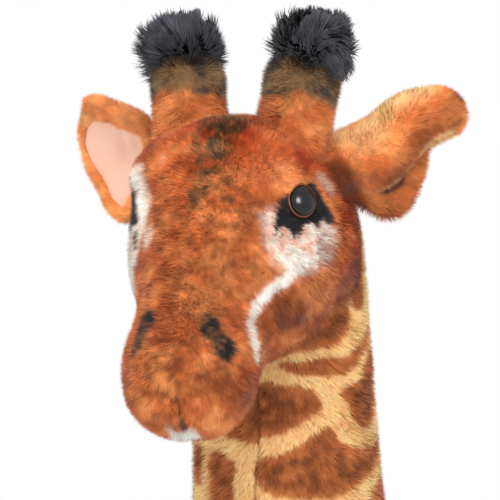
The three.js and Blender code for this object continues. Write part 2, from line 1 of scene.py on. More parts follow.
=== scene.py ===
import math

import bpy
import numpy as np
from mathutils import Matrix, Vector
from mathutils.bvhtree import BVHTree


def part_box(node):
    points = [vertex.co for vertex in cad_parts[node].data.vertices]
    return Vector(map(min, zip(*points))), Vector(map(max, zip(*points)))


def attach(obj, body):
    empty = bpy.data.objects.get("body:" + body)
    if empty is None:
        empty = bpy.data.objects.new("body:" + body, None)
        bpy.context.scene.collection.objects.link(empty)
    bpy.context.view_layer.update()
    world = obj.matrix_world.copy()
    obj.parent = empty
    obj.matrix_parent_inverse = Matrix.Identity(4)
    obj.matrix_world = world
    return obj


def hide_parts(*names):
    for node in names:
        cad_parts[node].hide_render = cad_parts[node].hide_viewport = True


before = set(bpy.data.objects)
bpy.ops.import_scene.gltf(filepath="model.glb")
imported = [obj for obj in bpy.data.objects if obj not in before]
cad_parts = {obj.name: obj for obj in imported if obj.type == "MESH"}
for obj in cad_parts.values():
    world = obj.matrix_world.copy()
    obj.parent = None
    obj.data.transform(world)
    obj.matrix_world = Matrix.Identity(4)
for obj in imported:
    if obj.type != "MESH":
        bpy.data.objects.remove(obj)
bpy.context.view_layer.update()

# %% [markdown]
# # A large standing plush giraffe
# The parts that hold the toy up, and the stuffing, come from the packed model and stay where they are. What
# a person sees of a plush toy is its pile: hundreds of thousands of short fibres standing on sewn skins.
# This lesson makes each skin as a smooth mesh, sculpts the face, plants the fibres as thin mesh blades and
# paints them with shader nodes.

seed = 20

# %% [markdown]
# ## Sizes
# The skins follow the same sections as the stuffed solids, so the driving sizes are repeated here in
# metres. The packed model stands with the middle of its box over the origin. A sole is a plain disc whose
# place is known in both files, so it tells how far the whole was moved.

# %% Driving sizes, in metres
body_length, body_width, body_depth, body_height = 0.416, 0.236, 0.256, 0.596
head_length, head_width, head_depth = 0.281, 0.160, 0.170
head_pitch, head_rise, head_reach = math.radians(64), 0.509, 0.262
neck_width, neck_depth = 0.146, 0.162
leg_width, leg_depth, leg_spread = 0.096, 0.108, 0.138
hoof_height, hoof_width, hoof_depth, sole_thickness = 0.062, 0.088, 0.096, 0.004
hoof_forward_share = 0.0625
ossicone_width, ossicone_length = 0.062, 0.072
ossicone_lean, ossicone_tilt = math.radians(7), math.radians(9)
tuft_width, tuft_length = 0.066, 0.058
ear_length, ear_width, ear_base_height, eye_width = 0.118, 0.132, 0.006, 0.023
mane_height, mane_thickness = 0.026, 0.015
tail_width, tail_length, tail_sweep = 0.024, 0.225, 0.044
tail_tuft_width, tail_tuft_length = 0.046, 0.100
pile, front_leg_share, rear_leg_share = 0.009, -0.290, 0.330

sole_low, sole_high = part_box("sole_front_left")
moved = (sole_low + sole_high) / 2 - Vector(
    (leg_spread / 2, front_leg_share * body_length - hoof_forward_share * hoof_depth, sole_thickness / 2))
origin = np.array(moved)
print("the packed model was moved by", np.round(origin, 4))


def at(*coordinates):
    """A place in the toy's own plan, in the frame of the packed model."""
    return np.array(coordinates, float) + origin


# %% [markdown]
# ## Camera
# The photograph looks at the giraffe's face from its left, at the height of its muzzle, with a long lens:
# the ears at both sides are seen at nearly the same size. A far camera with a long lens gives that flat
# perspective. The camera is aimed with a track direction worked out from its place, so nothing has to be
# typed as angles.

# %% The camera
view_turn, view_rise, view_distance, view_width = math.radians(25), math.radians(1.5), 2.8, 0.400
sensor_width = 0.036
view_side = np.array((math.cos(view_turn), math.sin(view_turn), 0))
view_back = np.array((math.sin(view_turn), -math.cos(view_turn), 0))
view_middle = -0.070 * view_side + 0.183 * view_back + np.array((0, 0, 1.054))


def aimed(name, data, place, target):
    """A camera or a lamp, looking from its place at a target."""
    obj = bpy.data.objects.new(name, data)
    bpy.context.scene.collection.objects.link(obj)
    obj.location = place
    obj.rotation_euler = (Vector(target) - obj.location).to_track_quat("-Z", "Y").to_euler()
    return obj


camera_data = bpy.data.cameras.new("camera")
camera_data.sensor_width = sensor_width * 1000
camera_data.lens = sensor_width * 1000 * view_distance / view_width
view_way = math.cos(view_rise) * view_back + np.array((0, 0, math.sin(view_rise)))
view_place = view_middle + view_distance * view_way
bpy.context.scene.camera = aimed("camera", camera_data, view_place, view_middle)
print("lens", round(camera_data.lens), "mm at", np.round(view_place, 2))

# %% [markdown]
# ## Nodes written as sums
# A node tree is easier to read as arithmetic. The class below wraps one socket. Adding or multiplying wraps
# the matching Math node, or Vector Math where one side is a vector, and one method adds every other kind of
# node.


# %% A socket that takes part in sums
class Wire:
    def __init__(self, tree, socket=None):
        self.tree, self.socket = tree, socket

    def node(self, kind, settings=None, inputs=None, output=0):
        """Adds a node: its settings first, then the values or links of its sockets."""
        node = self.tree.nodes.new(kind)
        for name, value in (settings or {}).items():
            setattr(node, name, value)
        for name, value in (inputs or {}).items():
            socket = self.pick(node.inputs, name)
            if isinstance(value, Wire):
                self.tree.links.new(value.socket, socket)
            else:
                socket.default_value = value
        return Wire(self.tree, self.pick(node.outputs, output))

    @staticmethod
    def pick(sockets, name):
        """A socket by its number, or by its name among those that the node's settings leave in use."""
        if isinstance(name, int):
            return sockets[name]
        return next(socket for socket in sockets if socket.enabled and socket.name == name)

    def sum(self, operation, other):
        vector = self.socket.type == "VECTOR"
        kind = "ShaderNodeVectorMath" if vector else "ShaderNodeMath"
        if vector and isinstance(other, float):
            other = (other,) * 3
        return self.node(kind, {"operation": operation}, {0: self, 1: other})

    def __add__(self, other):
        return self.sum("ADD", other)

    def __mul__(self, other):
        return self.sum("MULTIPLY", other)

    def minimum(self, other):
        return self.sum("MINIMUM", other)

    __radd__, __rmul__ = __add__, __mul__

    def parts(self):
        node = self.node("ShaderNodeSeparateXYZ", None, {0: self}).socket.node
        return [Wire(self.tree, socket) for socket in node.outputs]

    def step(self, low, high):
        """0 below low and 1 above high, with a smooth rise between them."""
        return self.node("ShaderNodeMapRange", {"interpolation_type": "SMOOTHSTEP"},
                         {"Value": self, "From Min": low, "From Max": high})

    def noise(self, size, detail):
        """A cloudy pattern, about 0.5 on average, whose blots are size metres wide."""
        return self.node("ShaderNodeTexNoise", None, {"Vector": self, "Scale": 1 / size, "Detail": detail})

    def mix(self, first, second):
        """first where this socket is 0, second where it is 1."""
        inputs = {"Factor": self, "A": first, "B": second}
        return self.node("ShaderNodeMix", {"data_type": "RGBA"}, inputs, "Result")


print("a wire can", [name for name in vars(Wire) if not name.startswith("_")])

# %% [markdown]
# ## Skins from sections
# A sewn toy swells and tapers, so each skin is a loft: rings of points round a middle line, sized by a
# short table of sections. The tables are the ones of the stuffed solids. A smooth curve is run through
# their rows, and the rings lie inside the solid's surface by most of a pile's height, so that the tips of
# the fibres end where the solid does.


# %% Curves through a table, and lofts
def smooth_rows(rows, count):
    """Reads a table at count evenly spaced places on a smooth curve through its rows."""
    rows = np.asarray(rows, float)
    place = np.linspace(0, len(rows) - 1, count)
    index = np.minimum(place.astype(int), len(rows) - 2)
    t = (place - index)[:, None]
    padded = np.vstack((2 * rows[0] - rows[1], rows, 2 * rows[-1] - rows[-2]))
    a, b, c, d = (padded[index + shift] for shift in range(4))
    return b + 0.5 * t * (c - a + t * (2 * a - 5 * b + 4 * c - d + t * (3 * (b - c) + d - a)))


def unit(vectors):
    return vectors / np.maximum(np.linalg.norm(vectors, axis=-1, keepdims=True), 1e-12)


print("half way between 0, 1 and 4 a smooth curve reads", smooth_rows([(0,), (1,), (4,)], 5)[3])


# %% Lofts
def loft(rows, rings, turns, inset=0.0, square=2.0):
    """Rings through rows of centre, across, deep, half width and half depth, with a point at each end."""
    rows = smooth_rows(rows, rings)
    centre, across, deep = rows[:, 0:3], unit(rows[:, 3:6]), unit(rows[:, 6:9])
    size = np.maximum(rows[:, 9:11] - inset, 0.0015)
    lengthwise = unit(centre[-1] - centre[0])
    shift = np.clip((centre - (centre[0] + centre[-1]) / 2) @ lengthwise
                    / np.linalg.norm(centre[-1] - centre[0]) * 2, -1, 1) * inset
    centre = centre - shift[:, None] * lengthwise
    angle = np.arange(turns) / turns * 2 * np.pi
    power = 2 / square
    u = np.sign(np.cos(angle)) * np.abs(np.cos(angle)) ** power
    v = np.sign(np.sin(angle)) * np.abs(np.sin(angle)) ** power
    points = (centre[:, None] + across[:, None] * (size[:, :1] * u)[..., None]
              + deep[:, None] * (size[:, 1:] * v)[..., None]).reshape(-1, 3)
    return over_rings(points, rings, turns)


def over_rings(points, rings, turns):
    """The skin over rings of points, in order along it, closed by a fan at each end."""
    ring, side = np.meshgrid(np.arange(rings - 1), np.arange(turns), indexing="ij")
    a, b = ring * turns + side, ring * turns + (side + 1) % turns
    triangles = np.stack((a, b, b + turns, a, b + turns, a + turns), -1).reshape(-1, 3)
    side, top = np.arange(turns), (rings - 1) * turns
    low = np.stack((np.full(turns, len(points)), (side + 1) % turns, side), -1)
    high = np.stack((np.full(turns, len(points) + 1), top + side, top + (side + 1) % turns), -1)
    points = np.vstack((points, points[:turns].mean(0), points[top:].mean(0)))
    return Skin(points, np.concatenate((low, triangles, high)))


# %% [markdown]
# A skin keeps its points and triangles as arrays: the sculpting moves points, the planting reads places
# between them, and only at the end does the skin become a mesh object.


# %% The skin class
class Skin:
    def __init__(self, points, triangles):
        self.points = points
        self.triangles = triangles
        a, b, c = (points[triangles[:, corner]] for corner in range(3))
        if np.einsum("ij,ij->i", a, np.cross(b, c)).sum() < 0:
            self.triangles = triangles[:, ::-1]
        self.thickness = np.ones(len(points))
        self.marks = np.zeros((len(points), 3))
        self.settle()

    def settle(self):
        """Works out the areas and the outward normals again after the points have moved."""
        a, b, c = (self.points[self.triangles[:, corner]] for corner in range(3))
        cross = np.cross(b - a, c - a)
        self.areas = np.linalg.norm(cross, axis=1) / 2
        normals = np.zeros_like(self.points)
        for corner in range(3):
            np.add.at(normals, self.triangles[:, corner], cross)
        self.normals = unit(normals)

    def swell(self, place, reach, height):
        """Raises the skin round a place, or sinks it where height is negative."""
        apart = np.linalg.norm((self.points - place) / reach, axis=1)
        self.points = self.points + self.normals * (height * np.exp(-apart ** 2))[:, None]
        self.settle()

    def tree(self):
        return BVHTree.FromPolygons(self.points.tolist(), self.triangles.tolist())

    def depth_in(self, other):
        """How deep each point lies inside another skin; negative outside."""
        tree = other.tree()
        depth = np.empty(len(self.points))
        for index, point in enumerate(self.points):
            place, normal, _, _ = tree.find_nearest(Vector(point))
            depth[index] = (place - Vector(point)).dot(normal)
        return depth


def build(name, points, faces, attributes=None, unwrapped=None):
    """Makes a smooth mesh object of triangles, with vectors kept at its points and a place for baking."""
    mesh = bpy.data.meshes.new(name)
    mesh.vertices.add(len(points))
    mesh.vertices.foreach_set("co", np.asarray(points, np.float32).ravel())
    mesh.loops.add(faces.size)
    mesh.loops.foreach_set("vertex_index", np.asarray(faces, np.int32).ravel())
    mesh.polygons.add(len(faces))
    mesh.polygons.foreach_set("loop_start", np.arange(0, faces.size, faces.shape[1], dtype=np.int32))
    mesh.update(calc_edges=True)
    mesh.polygons.foreach_set("use_smooth", np.full(len(faces), True))
    for key, values in (attributes or {}).items():
        kept = mesh.attributes.new(key, "FLOAT_VECTOR", "POINT")
        kept.data.foreach_set("vector", np.asarray(values, np.float32).ravel())
    if unwrapped is not None:
        mesh.uv_layers.new(name="OFBake").data.foreach_set("uv", np.asarray(unwrapped, np.float32).ravel())
    obj = bpy.data.objects.new(name, mesh)
    bpy.context.scene.collection.objects.link(obj)
    return obj


# %% [markdown]
# ## Body, head and neck
# These tables repeat the solids' sections: the body from chest to rump, the head from crown to lips and the
# neck from the shoulders to the skull. A place on the head is given along its axis, out of its face and to
# its left.

# %% Section tables
# Each row is a section: the body's along, rise, half width and half depth
body_shares = [(-0.5, 0.06, 0.05, 0.05), (-0.475, 0.055, 0.23, 0.24), (-0.405, 0.05, 0.37, 0.39),
    (-0.29, 0.04, 0.46, 0.48), (-0.13, 0.022, 0.495, 0.5), (0.05, 0.002, 0.5, 0.492),
    (0.21, -0.022, 0.492, 0.476), (0.345, -0.045, 0.45, 0.436), (0.445, -0.068, 0.34, 0.34),
    (0.487, -0.08, 0.205, 0.215), (0.5, -0.085, 0.05, 0.05)]
# The head's along, front, underside and half width
head_shares = [(-0.226, -0.02, -0.2, 0.07), (-0.205, 0.08, -0.385, 0.25), (-0.15, 0.235, -0.57, 0.385),
    (-0.07, 0.335, -0.75, 0.48), (0.03, 0.375, -0.895, 0.518), (0.13, 0.38, -0.955, 0.53),
    (0.225, 0.37, -0.94, 0.515), (0.31, 0.36, -0.81, 0.46), (0.39, 0.348, -0.57, 0.37),
    (0.46, 0.342, -0.37, 0.33), (0.54, 0.34, -0.28, 0.33), (0.62, 0.32, -0.26, 0.332),
    (0.69, 0.255, -0.215, 0.3), (0.74, 0.16, -0.15, 0.225), (0.77, 0.04, -0.06, 0.07)]
# The neck's reach, rise, half width, half depth and lean
neck_shares = [(0, 0, 0.48, 0.5, 0.04), (0.12, 0.13, 0.59, 0.61, 0.1), (0.2, 0.23, 0.59, 0.61, 0.13),
    (0.33, 0.34, 0.55, 0.55, 0.14), (0.43, 0.48, 0.508, 0.505, 0.13), (0.52, 0.66, 0.488, 0.475, 0.11),
    (0.61, 0.82, 0.48, 0.462, 0.16), (0.69, 0.9, 0.478, 0.46, 0.32), (0.8, 0.965, 0.45, 0.43, 0.6),
    (1, 1.02, 0.33, 0.3, 1)]

across = np.array((1.0, 0.0, 0.0))
back = np.array((0.0, 1.0, 0.0))
up = np.array((0.0, 0.0, 1.0))
skull = at(0, -head_reach, body_height + head_rise)
head_along = np.array((0, -math.cos(head_pitch), -math.sin(head_pitch)))
head_out = np.array((0, -math.sin(head_pitch), math.cos(head_pitch)))


def on_head(along_share, out_share, side_share):
    return (skull + along_share * head_length * head_along + out_share * head_depth * head_out
            + side_share * head_width * across)


neck_foot = at(0, -0.24 * body_length, body_height + 0.09 * body_depth)
neck_top = on_head(-0.060, -0.215, 0)


def on_neck(reach_share, rise_share):
    return neck_foot + (neck_top - neck_foot) * (0, reach_share, rise_share)


body_rows = [(*at(0, along * body_length, body_height + rise * body_depth), *across, *up,
              wide * body_width, deep * body_depth) for along, rise, wide, deep in body_shares]
head_rows = [(*on_head(along, (front + under) / 2, 0), *across, *head_out,
              wide * head_width, (front - under) / 2 * head_depth)
             for along, front, under, wide in head_shares]
neck_rows = [(*on_neck(reach, rise), *across, 0, math.cos(lean), math.sin(lean),
              wide * neck_width, deep * neck_depth) for reach, rise, wide, deep, lean in neck_shares]
print("the skull's middle is at", np.round(skull, 3), "and the neck starts at", np.round(neck_foot, 3))

# %% [markdown]
# ## Legs, horns and tail
# A giraffe's horns, the ossicones, are stuffed columns of the same plush. Legs, ossicones and the tail are
# lofts too.

# %% Rows of the small lofts
# A leg's height, half width, half depth and shift back
front_leg_shares = [(1.01, 0.22, 0.3, 0), (0.95, 0.4, 0.48, 0), (0.87, 0.48, 0.54, 0), (0.78, 0.48, 0.5, 0),
    (0.64, 0.42, 0.43, 0.01), (0.53, 0.41, 0.42, 0.015), (0.42, 0.385, 0.385, 0.01), (0.25, 0.37, 0.365, 0),
    (0.104, 0.385, 0.385, 0)]
rear_leg_shares = [(1, 0.22, 0.4, -0.06), (0.94, 0.4, 0.6, -0.04), (0.86, 0.49, 0.67, -0.01),
    (0.77, 0.48, 0.58, 0.01), (0.64, 0.43, 0.47, 0.03), (0.53, 0.41, 0.42, 0.05),
    (0.42, 0.385, 0.385, 0.04), (0.25, 0.37, 0.365, 0.01), (0.104, 0.385, 0.385, 0)]
# The height of each section, and its half width; the hoof has a half depth too
hoof_shares = [(1, 0.43, 0.44), (0.6, 0.48, 0.48), (0.2, 0.5, 0.5), (0, 0.49, 0.49)]
ossicone_shares = [(-0.36, 0.53), (0, 0.52), (0.45, 0.49), (0.75, 0.5), (0.92, 0.42), (1, 0.18)]
tuft_shares = [(-0.34, 0.3), (-0.26, 0.42), (-0.08, 0.49), (0.18, 0.5), (0.4, 0.43), (0.56, 0.29),
    (0.66, 0.08)]
# How far down the tail, and how far back
tail_shares = [(0, 0.2), (0.03, 0.46), (0.12, 0.62), (0.35, 0.8), (0.7, 1), (1, 1)]
# How far down the tuft, and its half width
tail_tuft_shares = [(0, 0.3), (0.12, 0.44), (0.4, 0.5), (0.7, 0.42), (0.9, 0.24), (1, 0.08)]


def leg_rows(side, along_share, shares):
    x, y = side * leg_spread / 2, along_share * body_length
    return [(*at(x, y + shift * leg_depth, high * body_height if high > 0.2 else hoof_height), *across, *back,
             wide * leg_width, deep * leg_depth) for high, wide, deep, shift in shares]


def hoof_rows(side, along_share):
    x, y = side * leg_spread / 2, along_share * body_length
    return [(*at(x, y - (1 - high) * hoof_forward_share * hoof_depth,
                 sole_thickness + high * (hoof_height - sole_thickness)),
             *across, *back, wide * hoof_width, deep * hoof_depth) for high, wide, deep in hoof_shares]


sides = {"left": 1, "right": -1}
leg_pairs = ("front", front_leg_share, front_leg_shares), ("rear", rear_leg_share, rear_leg_shares)
legs = {end + "_" + name: (side, along_share, shares)
        for end, along_share, shares in leg_pairs for name, side in sides.items()}
ossicone_along, ossicone_out, ossicone_aside = -0.145, 0.005, 0.280


def ossicone_frame(side):
    """The foot of a column, and its directions across, deep and up."""
    lean_across = side * math.sin(ossicone_lean)
    column_up = unit(np.array((lean_across, math.sin(ossicone_tilt), math.cos(ossicone_lean))))
    column_across = unit(np.array((math.cos(ossicone_lean), 0, -lean_across)))
    column_deep = unit(np.cross(column_up, column_across))
    foot = on_head(ossicone_along, ossicone_out, side * ossicone_aside)
    return foot, column_across, column_deep, column_up


def column_rows(frame_of_column, shares, start, height, width):
    foot, column_across, column_deep, column_up = frame_of_column
    return [(*(foot + (start + high * height) * column_up), *column_across, *column_deep,
             wide * width, wide * width) for high, wide in shares]


tail_root = at(0, 0.482 * body_length, body_height + 0.125 * body_depth)
tail_rows = [(*(tail_root + np.array((0, sweep * tail_sweep, -down * tail_length))), *across, *back,
              tail_width / 2, tail_width / 2) for down, sweep in tail_shares]
tail_end = tail_root + np.array((0, tail_sweep, -tail_length))
tail_tuft_rows = [(*(tail_end - down * tail_tuft_length * up), *across, *back,
                   wide * tail_tuft_width, wide * tail_tuft_width) for down, wide in tail_tuft_shares]
print("the tail ends at", np.round(tail_end, 3))

# %% [markdown]
# ## Sewing the skins
# The face is more than a tapered tube: brows and cheeks stand out, the eyes lie in shallow sockets, the
# lips part under the nose and the nostrils are drawn in by a stitch. A sculptor would push clay; here each
# touch is a smooth rise or dip round a named place, on both sides at once unless it is at the middle or
# names the right side.

# %% The big skins
skin_inset, tuft_shift = 0.0062, 0.0035
skins = {
    "body": loft(body_rows, 110, 90, skin_inset),
    "head": loft(head_rows, 130, 120, skin_inset, 2.12),
    "neck": loft(neck_rows, 120, 80, 0.003),
}
for name, (side, along_share, shares) in legs.items():
    skins["leg_" + name] = loft(leg_rows(side, along_share, shares), 90, 44, skin_inset)
    skins["hoof_" + name] = loft(hoof_rows(side, along_share), 24, 44, 0.004)
for name, side in sides.items():
    column = ossicone_frame(side)
    skins["ossicone_" + name] = loft(column_rows(column, ossicone_shares, 0, ossicone_length, ossicone_width),
                                     40, 40, skin_inset)
    tuft = (column[0] + side * tuft_shift * across, *column[1:])
    skins["tuft_" + name] = loft(column_rows(tuft, tuft_shares, ossicone_length, tuft_length, tuft_width),
                                 24, 30, 0.0160)
skins["tail"] = loft(tail_rows, 50, 20, 0.005)
skins["tail_tuft"] = loft(tail_tuft_rows, 24, 20, 0.010)
print("skins:", ", ".join(skins))

# %% The face
face_touches = [
    # along, out and side shares of the place, reach in metres, height in metres
    ((0.010, 0.210, 0.400), 0.026, 0.0040),    # brow over the eye
    ((-0.020, 0.020, 0.450), 0.034, 0.0040),   # temple
    ((0.020, 0.140, -0.440), 0.034, 0.0070),   # fuller right temple
    ((0.092, 0.070, 0.455), 0.018, -0.0045),   # socket
    ((0.210, -0.200, 0.480), 0.040, 0.0030),   # cheek
    ((0.080, -0.400, 0.480), 0.036, 0.0045),   # back of the cheek
    ((0.270, -0.480, 0.410), 0.030, -0.0100),  # under the jaw
    ((0.350, 0.180, 0.340), 0.034, -0.0035),   # hollow between cheek and muzzle
    ((0.575, 0.120, 0.290), 0.036, -0.0005),   # side of the muzzle
    ((0.500, 0.270, 0.215), 0.012, -0.0035),   # nostril
    ((0.690, 0.190, 0.000), 0.010, -0.0040),   # parting under the nose
]
for (along_share, out_share, side_share), reach, height in face_touches:
    for side in ((1, -1) if side_share > 0 else (1,)):
        skins["head"].swell(on_head(along_share, out_share, side * side_share), reach, height)
print({name: len(skin.points) for name, skin in skins.items()})


# %% [markdown]
# ## Ears
# Each ear is a leaf of plush lined with felt. Across its length it is an arc, with a wall that runs on from
# one end and a flap that turns outward at the other. The left ear is rolled nearly shut, so the camera sees
# its furry back; the right ear lies open and shows the felt. The tables are the ones of the solids, read
# through smooth curves.

# %% The leaves of the ears
# Along, shifts toward the rib and down, radius, turns of the arc to both sides, wall and flap
rolled_ear_shares = [(-0.14, 0, 0.01, 0.1, 1, 0.5, 0.04, 0.06), (0, 0, -0.005, 0.135, 1, 0.5, 0.06, 0.14),
    (0.07, 0, -0.012, 0.15, 1, 0.52, 0.12, 0.24), (0.18, 0, 0, 0.158, 1, 0.54, 0.17, 0.32),
    (0.3, 0, 0, 0.162, 1, 0.54, 0.19, 0.32), (0.43, 0, -0.025, 0.16, 1, 0.54, 0.19, 0.26),
    (0.56, 0, -0.06, 0.15, 1, 0.54, 0.18, 0.18), (0.67, 0, -0.075, 0.14, 1, 0.54, 0.2, 0.06),
    (0.79, 0, -0.07, 0.126, 1, 0.52, 0.16, 0.01), (0.91, 0, -0.055, 0.112, 1, 0.5, 0.1, 0.01),
    (1, 0, -0.045, 0.098, 1, 0.5, 0.03, 0.01)]
open_ear_shares = [(0, -0.08, 0.02, 0.08, 0.333, 0.222, 0.01, 0.04),
    (0.07, -0.26, 0.02, 0.26, 0.26, 0.244, 0.01, 0.07), (0.16, -0.38, 0, 0.38, 0.289, 0.256, 0.01, 0.11),
    (0.29, -0.4, 0, 0.4, 0.289, 0.256, 0.01, 0.11), (0.44, -0.4, 0, 0.4, 0.289, 0.252, 0.01, 0.06),
    (0.6, -0.4, 0, 0.4, 0.278, 0.21, 0.01, 0.01), (0.74, -0.4, 0, 0.4, 0.256, 0.168, 0.01, 0.01),
    (0.86, -0.4, 0, 0.4, 0.211, 0.115, 0.01, 0.01), (0.97, -0.4, 0, 0.4, 0.122, 0.055, 0.01, 0.01)]
print("sections of the ears:", len(rolled_ear_shares), "and", len(open_ear_shares))

# %% An ear's leaf
ear_along, ear_out, ear_aside = -0.099, -0.162, 0.452
leaf_rows, arc_steps, wall_steps = 72, 26, 9
flap_turn_share, round_end_share, end_narrowing = 0.113, 0.14, 0.96
end_pile, edge_share = 0.0055, 0.034   # how far the pile stands out past the leaf's end and edges


class Leaf:
    """An ear as a grid of places on its lining side, with the way out of its back at each of them."""

    def __init__(self, side, shares, tip, rib, narrowed, trimmed):
        self.root = on_head(ear_along, ear_out, side * ear_aside)
        self.tip = unit(np.array(tip))
        self.rib = unit(np.array(rib) - np.array(rib) @ self.tip * self.tip)
        self.low = np.cross(self.tip, self.rib)
        rows = smooth_rows(shares, leaf_rows)
        rows[:, trimmed] = np.maximum(rows[:, trimmed] - edge_share, 0.005)
        ending = np.maximum(rows[:, 0] / rows[-1, 0] - (1 - round_end_share), 0) / round_end_share
        rows[:, narrowed] *= np.sqrt(np.clip(1 - end_narrowing * ending ** 2, 0, 1))[:, None]
        along, rib_share, low_share, radius, back_turn, front_turn, wall, flap = rows.T[..., None]
        middle = (self.root + (ear_base_height + along * (ear_length - ear_base_height - end_pile)) * self.tip
                  + rib_share * ear_width * self.rib + low_share * ear_width * self.low)
        start, end = -back_turn * math.pi, front_turn * math.pi
        crease = flap / (flap + pile / ear_width)
        flap_turn = end + crease * (flap_turn_share * math.pi - end)
        turns = start + (end - start) * np.linspace(0, 1, arc_steps)
        arc = middle[:, None] + radius[..., None] * ear_width * self.out(turns)
        spread = np.linspace(0, 1, wall_steps)[1:, None]
        past = arc[:, :1] - (wall * ear_width)[..., None] * spread[::-1] * self.out(start + math.pi / 2)
        over = arc[:, -1:] + (flap * ear_width)[..., None] * spread * self.out(flap_turn + math.pi / 2)
        self.points = np.concatenate((past, arc, over), 1)
        self.outward = np.concatenate(
            (self.out(start + 0 * spread.T), self.out(turns), self.out(flap_turn + 0 * spread.T)), 1)
        for _ in range(3):
            for grid in (self.points, self.outward):
                grid[:, 1:-1] = (grid[:, :-2] + 2 * grid[:, 1:-1] + grid[:, 2:]) / 4
        self.outward = unit(self.outward)
        self.along = np.repeat(along, self.points.shape[1], 1)
        lengths = np.linalg.norm(np.diff(self.points, axis=1), axis=2)
        self.reach = np.concatenate((np.zeros((len(rows), 1)), np.cumsum(lengths, 1)), 1)
        self.crease = self.reach[:, spread.size + turns.shape[1] - 1]

    def out(self, turn):
        return np.cos(turn)[..., None] * self.rib + np.sin(turn)[..., None] * self.low

    def dent(self, along, share, size, depth):
        """Pushes the leaf in round a place, given by shares along it and across it."""
        apart = ((self.along - along) * ear_length / size) ** 2
        apart = apart + ((self.reach - share * self.reach[:, -1:]) / size) ** 2
        self.points = self.points - self.outward * (depth * np.exp(-apart))[..., None]

    def sheet(self, near, far, top_edge=0.0, low_edge=0.0, rows=slice(None), columns=40):
        """A closed sheet between two distances from the lining side.

        Its marks say how far along and across the leaf a point is, and 1 where it is on the back."""
        rings = []
        for points, outward, reach, along in zip(*(
                grid[rows] for grid in (self.points, self.outward, self.reach, self.along))):
            most = 0.4 * reach[-1]
            place = np.linspace(min(top_edge, most), reach[-1] - min(low_edge, most), columns)
            line, way = (np.stack([np.interp(place, reach, grid[:, axis]) for axis in range(3)], 1)
                         for grid in (points, outward))
            way = unit(way)
            marks = np.stack((along[0] + 0 * place, place, 1 + 0 * place), 1)
            rings.append(np.concatenate((np.concatenate((line + far * way, marks), 1),
                                         np.concatenate((line + near * way, marks * (1, 1, 0)), 1)[::-1])))
        rings = np.array(rings)
        skin = over_rings(rings[..., :3].reshape(-1, 3), len(rings), 2 * columns)
        marks = rings[..., 3:].reshape(-1, 3)
        skin.marks = np.vstack((marks, marks[:2 * columns].mean(0), marks[-2 * columns:].mean(0)))
        return skin


print("an ear is", ear_length, "m long, and its bare leaf ends", end_pile, "m earlier")

# %% Both ears, dented and lined
leaves = {
    # the side, the table, the ways to the tip and the rib, and the table's narrowed and trimmed columns
    "left": Leaf(1, rolled_ear_shares, (0.84, 0.36, 0.40), (0.42, -0.91, 0.0), [3, 6, 7], [6, 7]),
    "right": Leaf(-1, open_ear_shares, (-0.87, 0.30, 0.28), (-0.05, 0.96, 0.25), [4, 5, 6, 7], [4, 7]),
}
rolled = leaves["left"]
rolled.crease = rolled.crease + 0.010 * (1 - np.clip((rolled.along[:, 0] - 0.35) / 0.27, 0, 1))
crease_size, crease_depth = 0.0055, 0.0026
for row in range(16, 50, 2):
    rolled.dent(rolled.along[row, 0], rolled.crease[row] / rolled.reach[row, -1], crease_size, crease_depth)
leaves["right"].dent(0.40, 0.38, 0.010, 0.004)
leaves["right"].dent(0.46, 0.50, 0.010, -0.005)
leaf_thickness, lining_faces = 0.0026, (-0.0019, -0.0003)
for name, leaf in leaves.items():
    skins["ear_" + name] = leaf.sheet(0.0, leaf_thickness)
lining_rows = {"left": (8, -5), "right": (12, -5)}
lining_edges = {"left": (0.005, 0.005), "right": (0.017, 0.005)}
linings = {name: leaf.sheet(*lining_faces, *lining_edges[name], slice(*lining_rows[name]))
           for name, leaf in leaves.items()}
ear_widths = [round(float(leaf.reach[:, -1].max()), 3) for leaf in leaves.values()]
print("laid flat, the ears are", ear_widths, "m wide")

# %% [markdown]
# ## Mane
# A crest of longer pile is sewn into the seam along the nape. Its core is a thin loft along the back of the
# neck.

# %% The mane's core
mane_shares = [(2, 0.25), (3, 0.75), (4, 1), (5, 1), (6, 1), (7, 1), (8, 0.95)]
mane_rows = []
for row, height_share in mane_shares:
    centre, deep, half_deep = np.array(neck_rows[row][0:3]), np.array(neck_rows[row][6:9]), neck_rows[row][10]
    height = height_share * mane_height
    mane_rows.append((*(centre + deep * (half_deep + (height - pile) / 2)), *across, *deep,
                      mane_thickness / 2, (height + pile) / 2))
mane_rows.append((*on_head(-0.200, -0.330, 0), *across, *-head_along, mane_thickness / 2, mane_height))
skins["mane"] = loft(mane_rows, 90, 20, 0.004)
print("mane from", np.round(mane_rows[0][:3], 3), "to", np.round(mane_rows[-1][:3], 3))

# %% [markdown]
# ## Repeatable randomness
# Fibres lie in small locks, and the locks in larger waves. Both come from a lattice whose cells get random
# numbers worked out from the cell itself, so the same place always has the same number and every run gives
# the same toy.


# %% Clouds and locks
large_primes = 73856093, 19349663, 83492791


def hashed(cells, key):
    """Three random numbers from 0 to 1 for each cell of a lattice."""
    cells = cells.astype(np.int64).astype(np.uint32) * np.array(large_primes, np.uint32)
    mixed = cells[..., 0] ^ cells[..., 1] ^ cells[..., 2] ^ np.uint32(key * 7919 + 12345)
    result = []
    for _ in range(3):
        for shift in (16, 15):
            mixed = (mixed ^ (mixed >> np.uint32(shift))) * np.uint32(73244475)
        result.append((mixed ^ (mixed >> np.uint32(16))) / 4294967296.0)
    return np.stack(result, -1)


def cloud(points, size, key):
    """Three smooth random numbers from -1 to 1, with blots about size metres wide."""
    place = points / size
    cell = np.floor(place)
    t = place - cell
    t = t * t * (3 - 2 * t)
    total = 0
    for corner in np.ndindex(2, 2, 2):
        weight = np.prod(np.where(corner, t, 1 - t), axis=-1, keepdims=True)
        total = total + weight * hashed(cell + corner, key)
    return total * 2 - 1


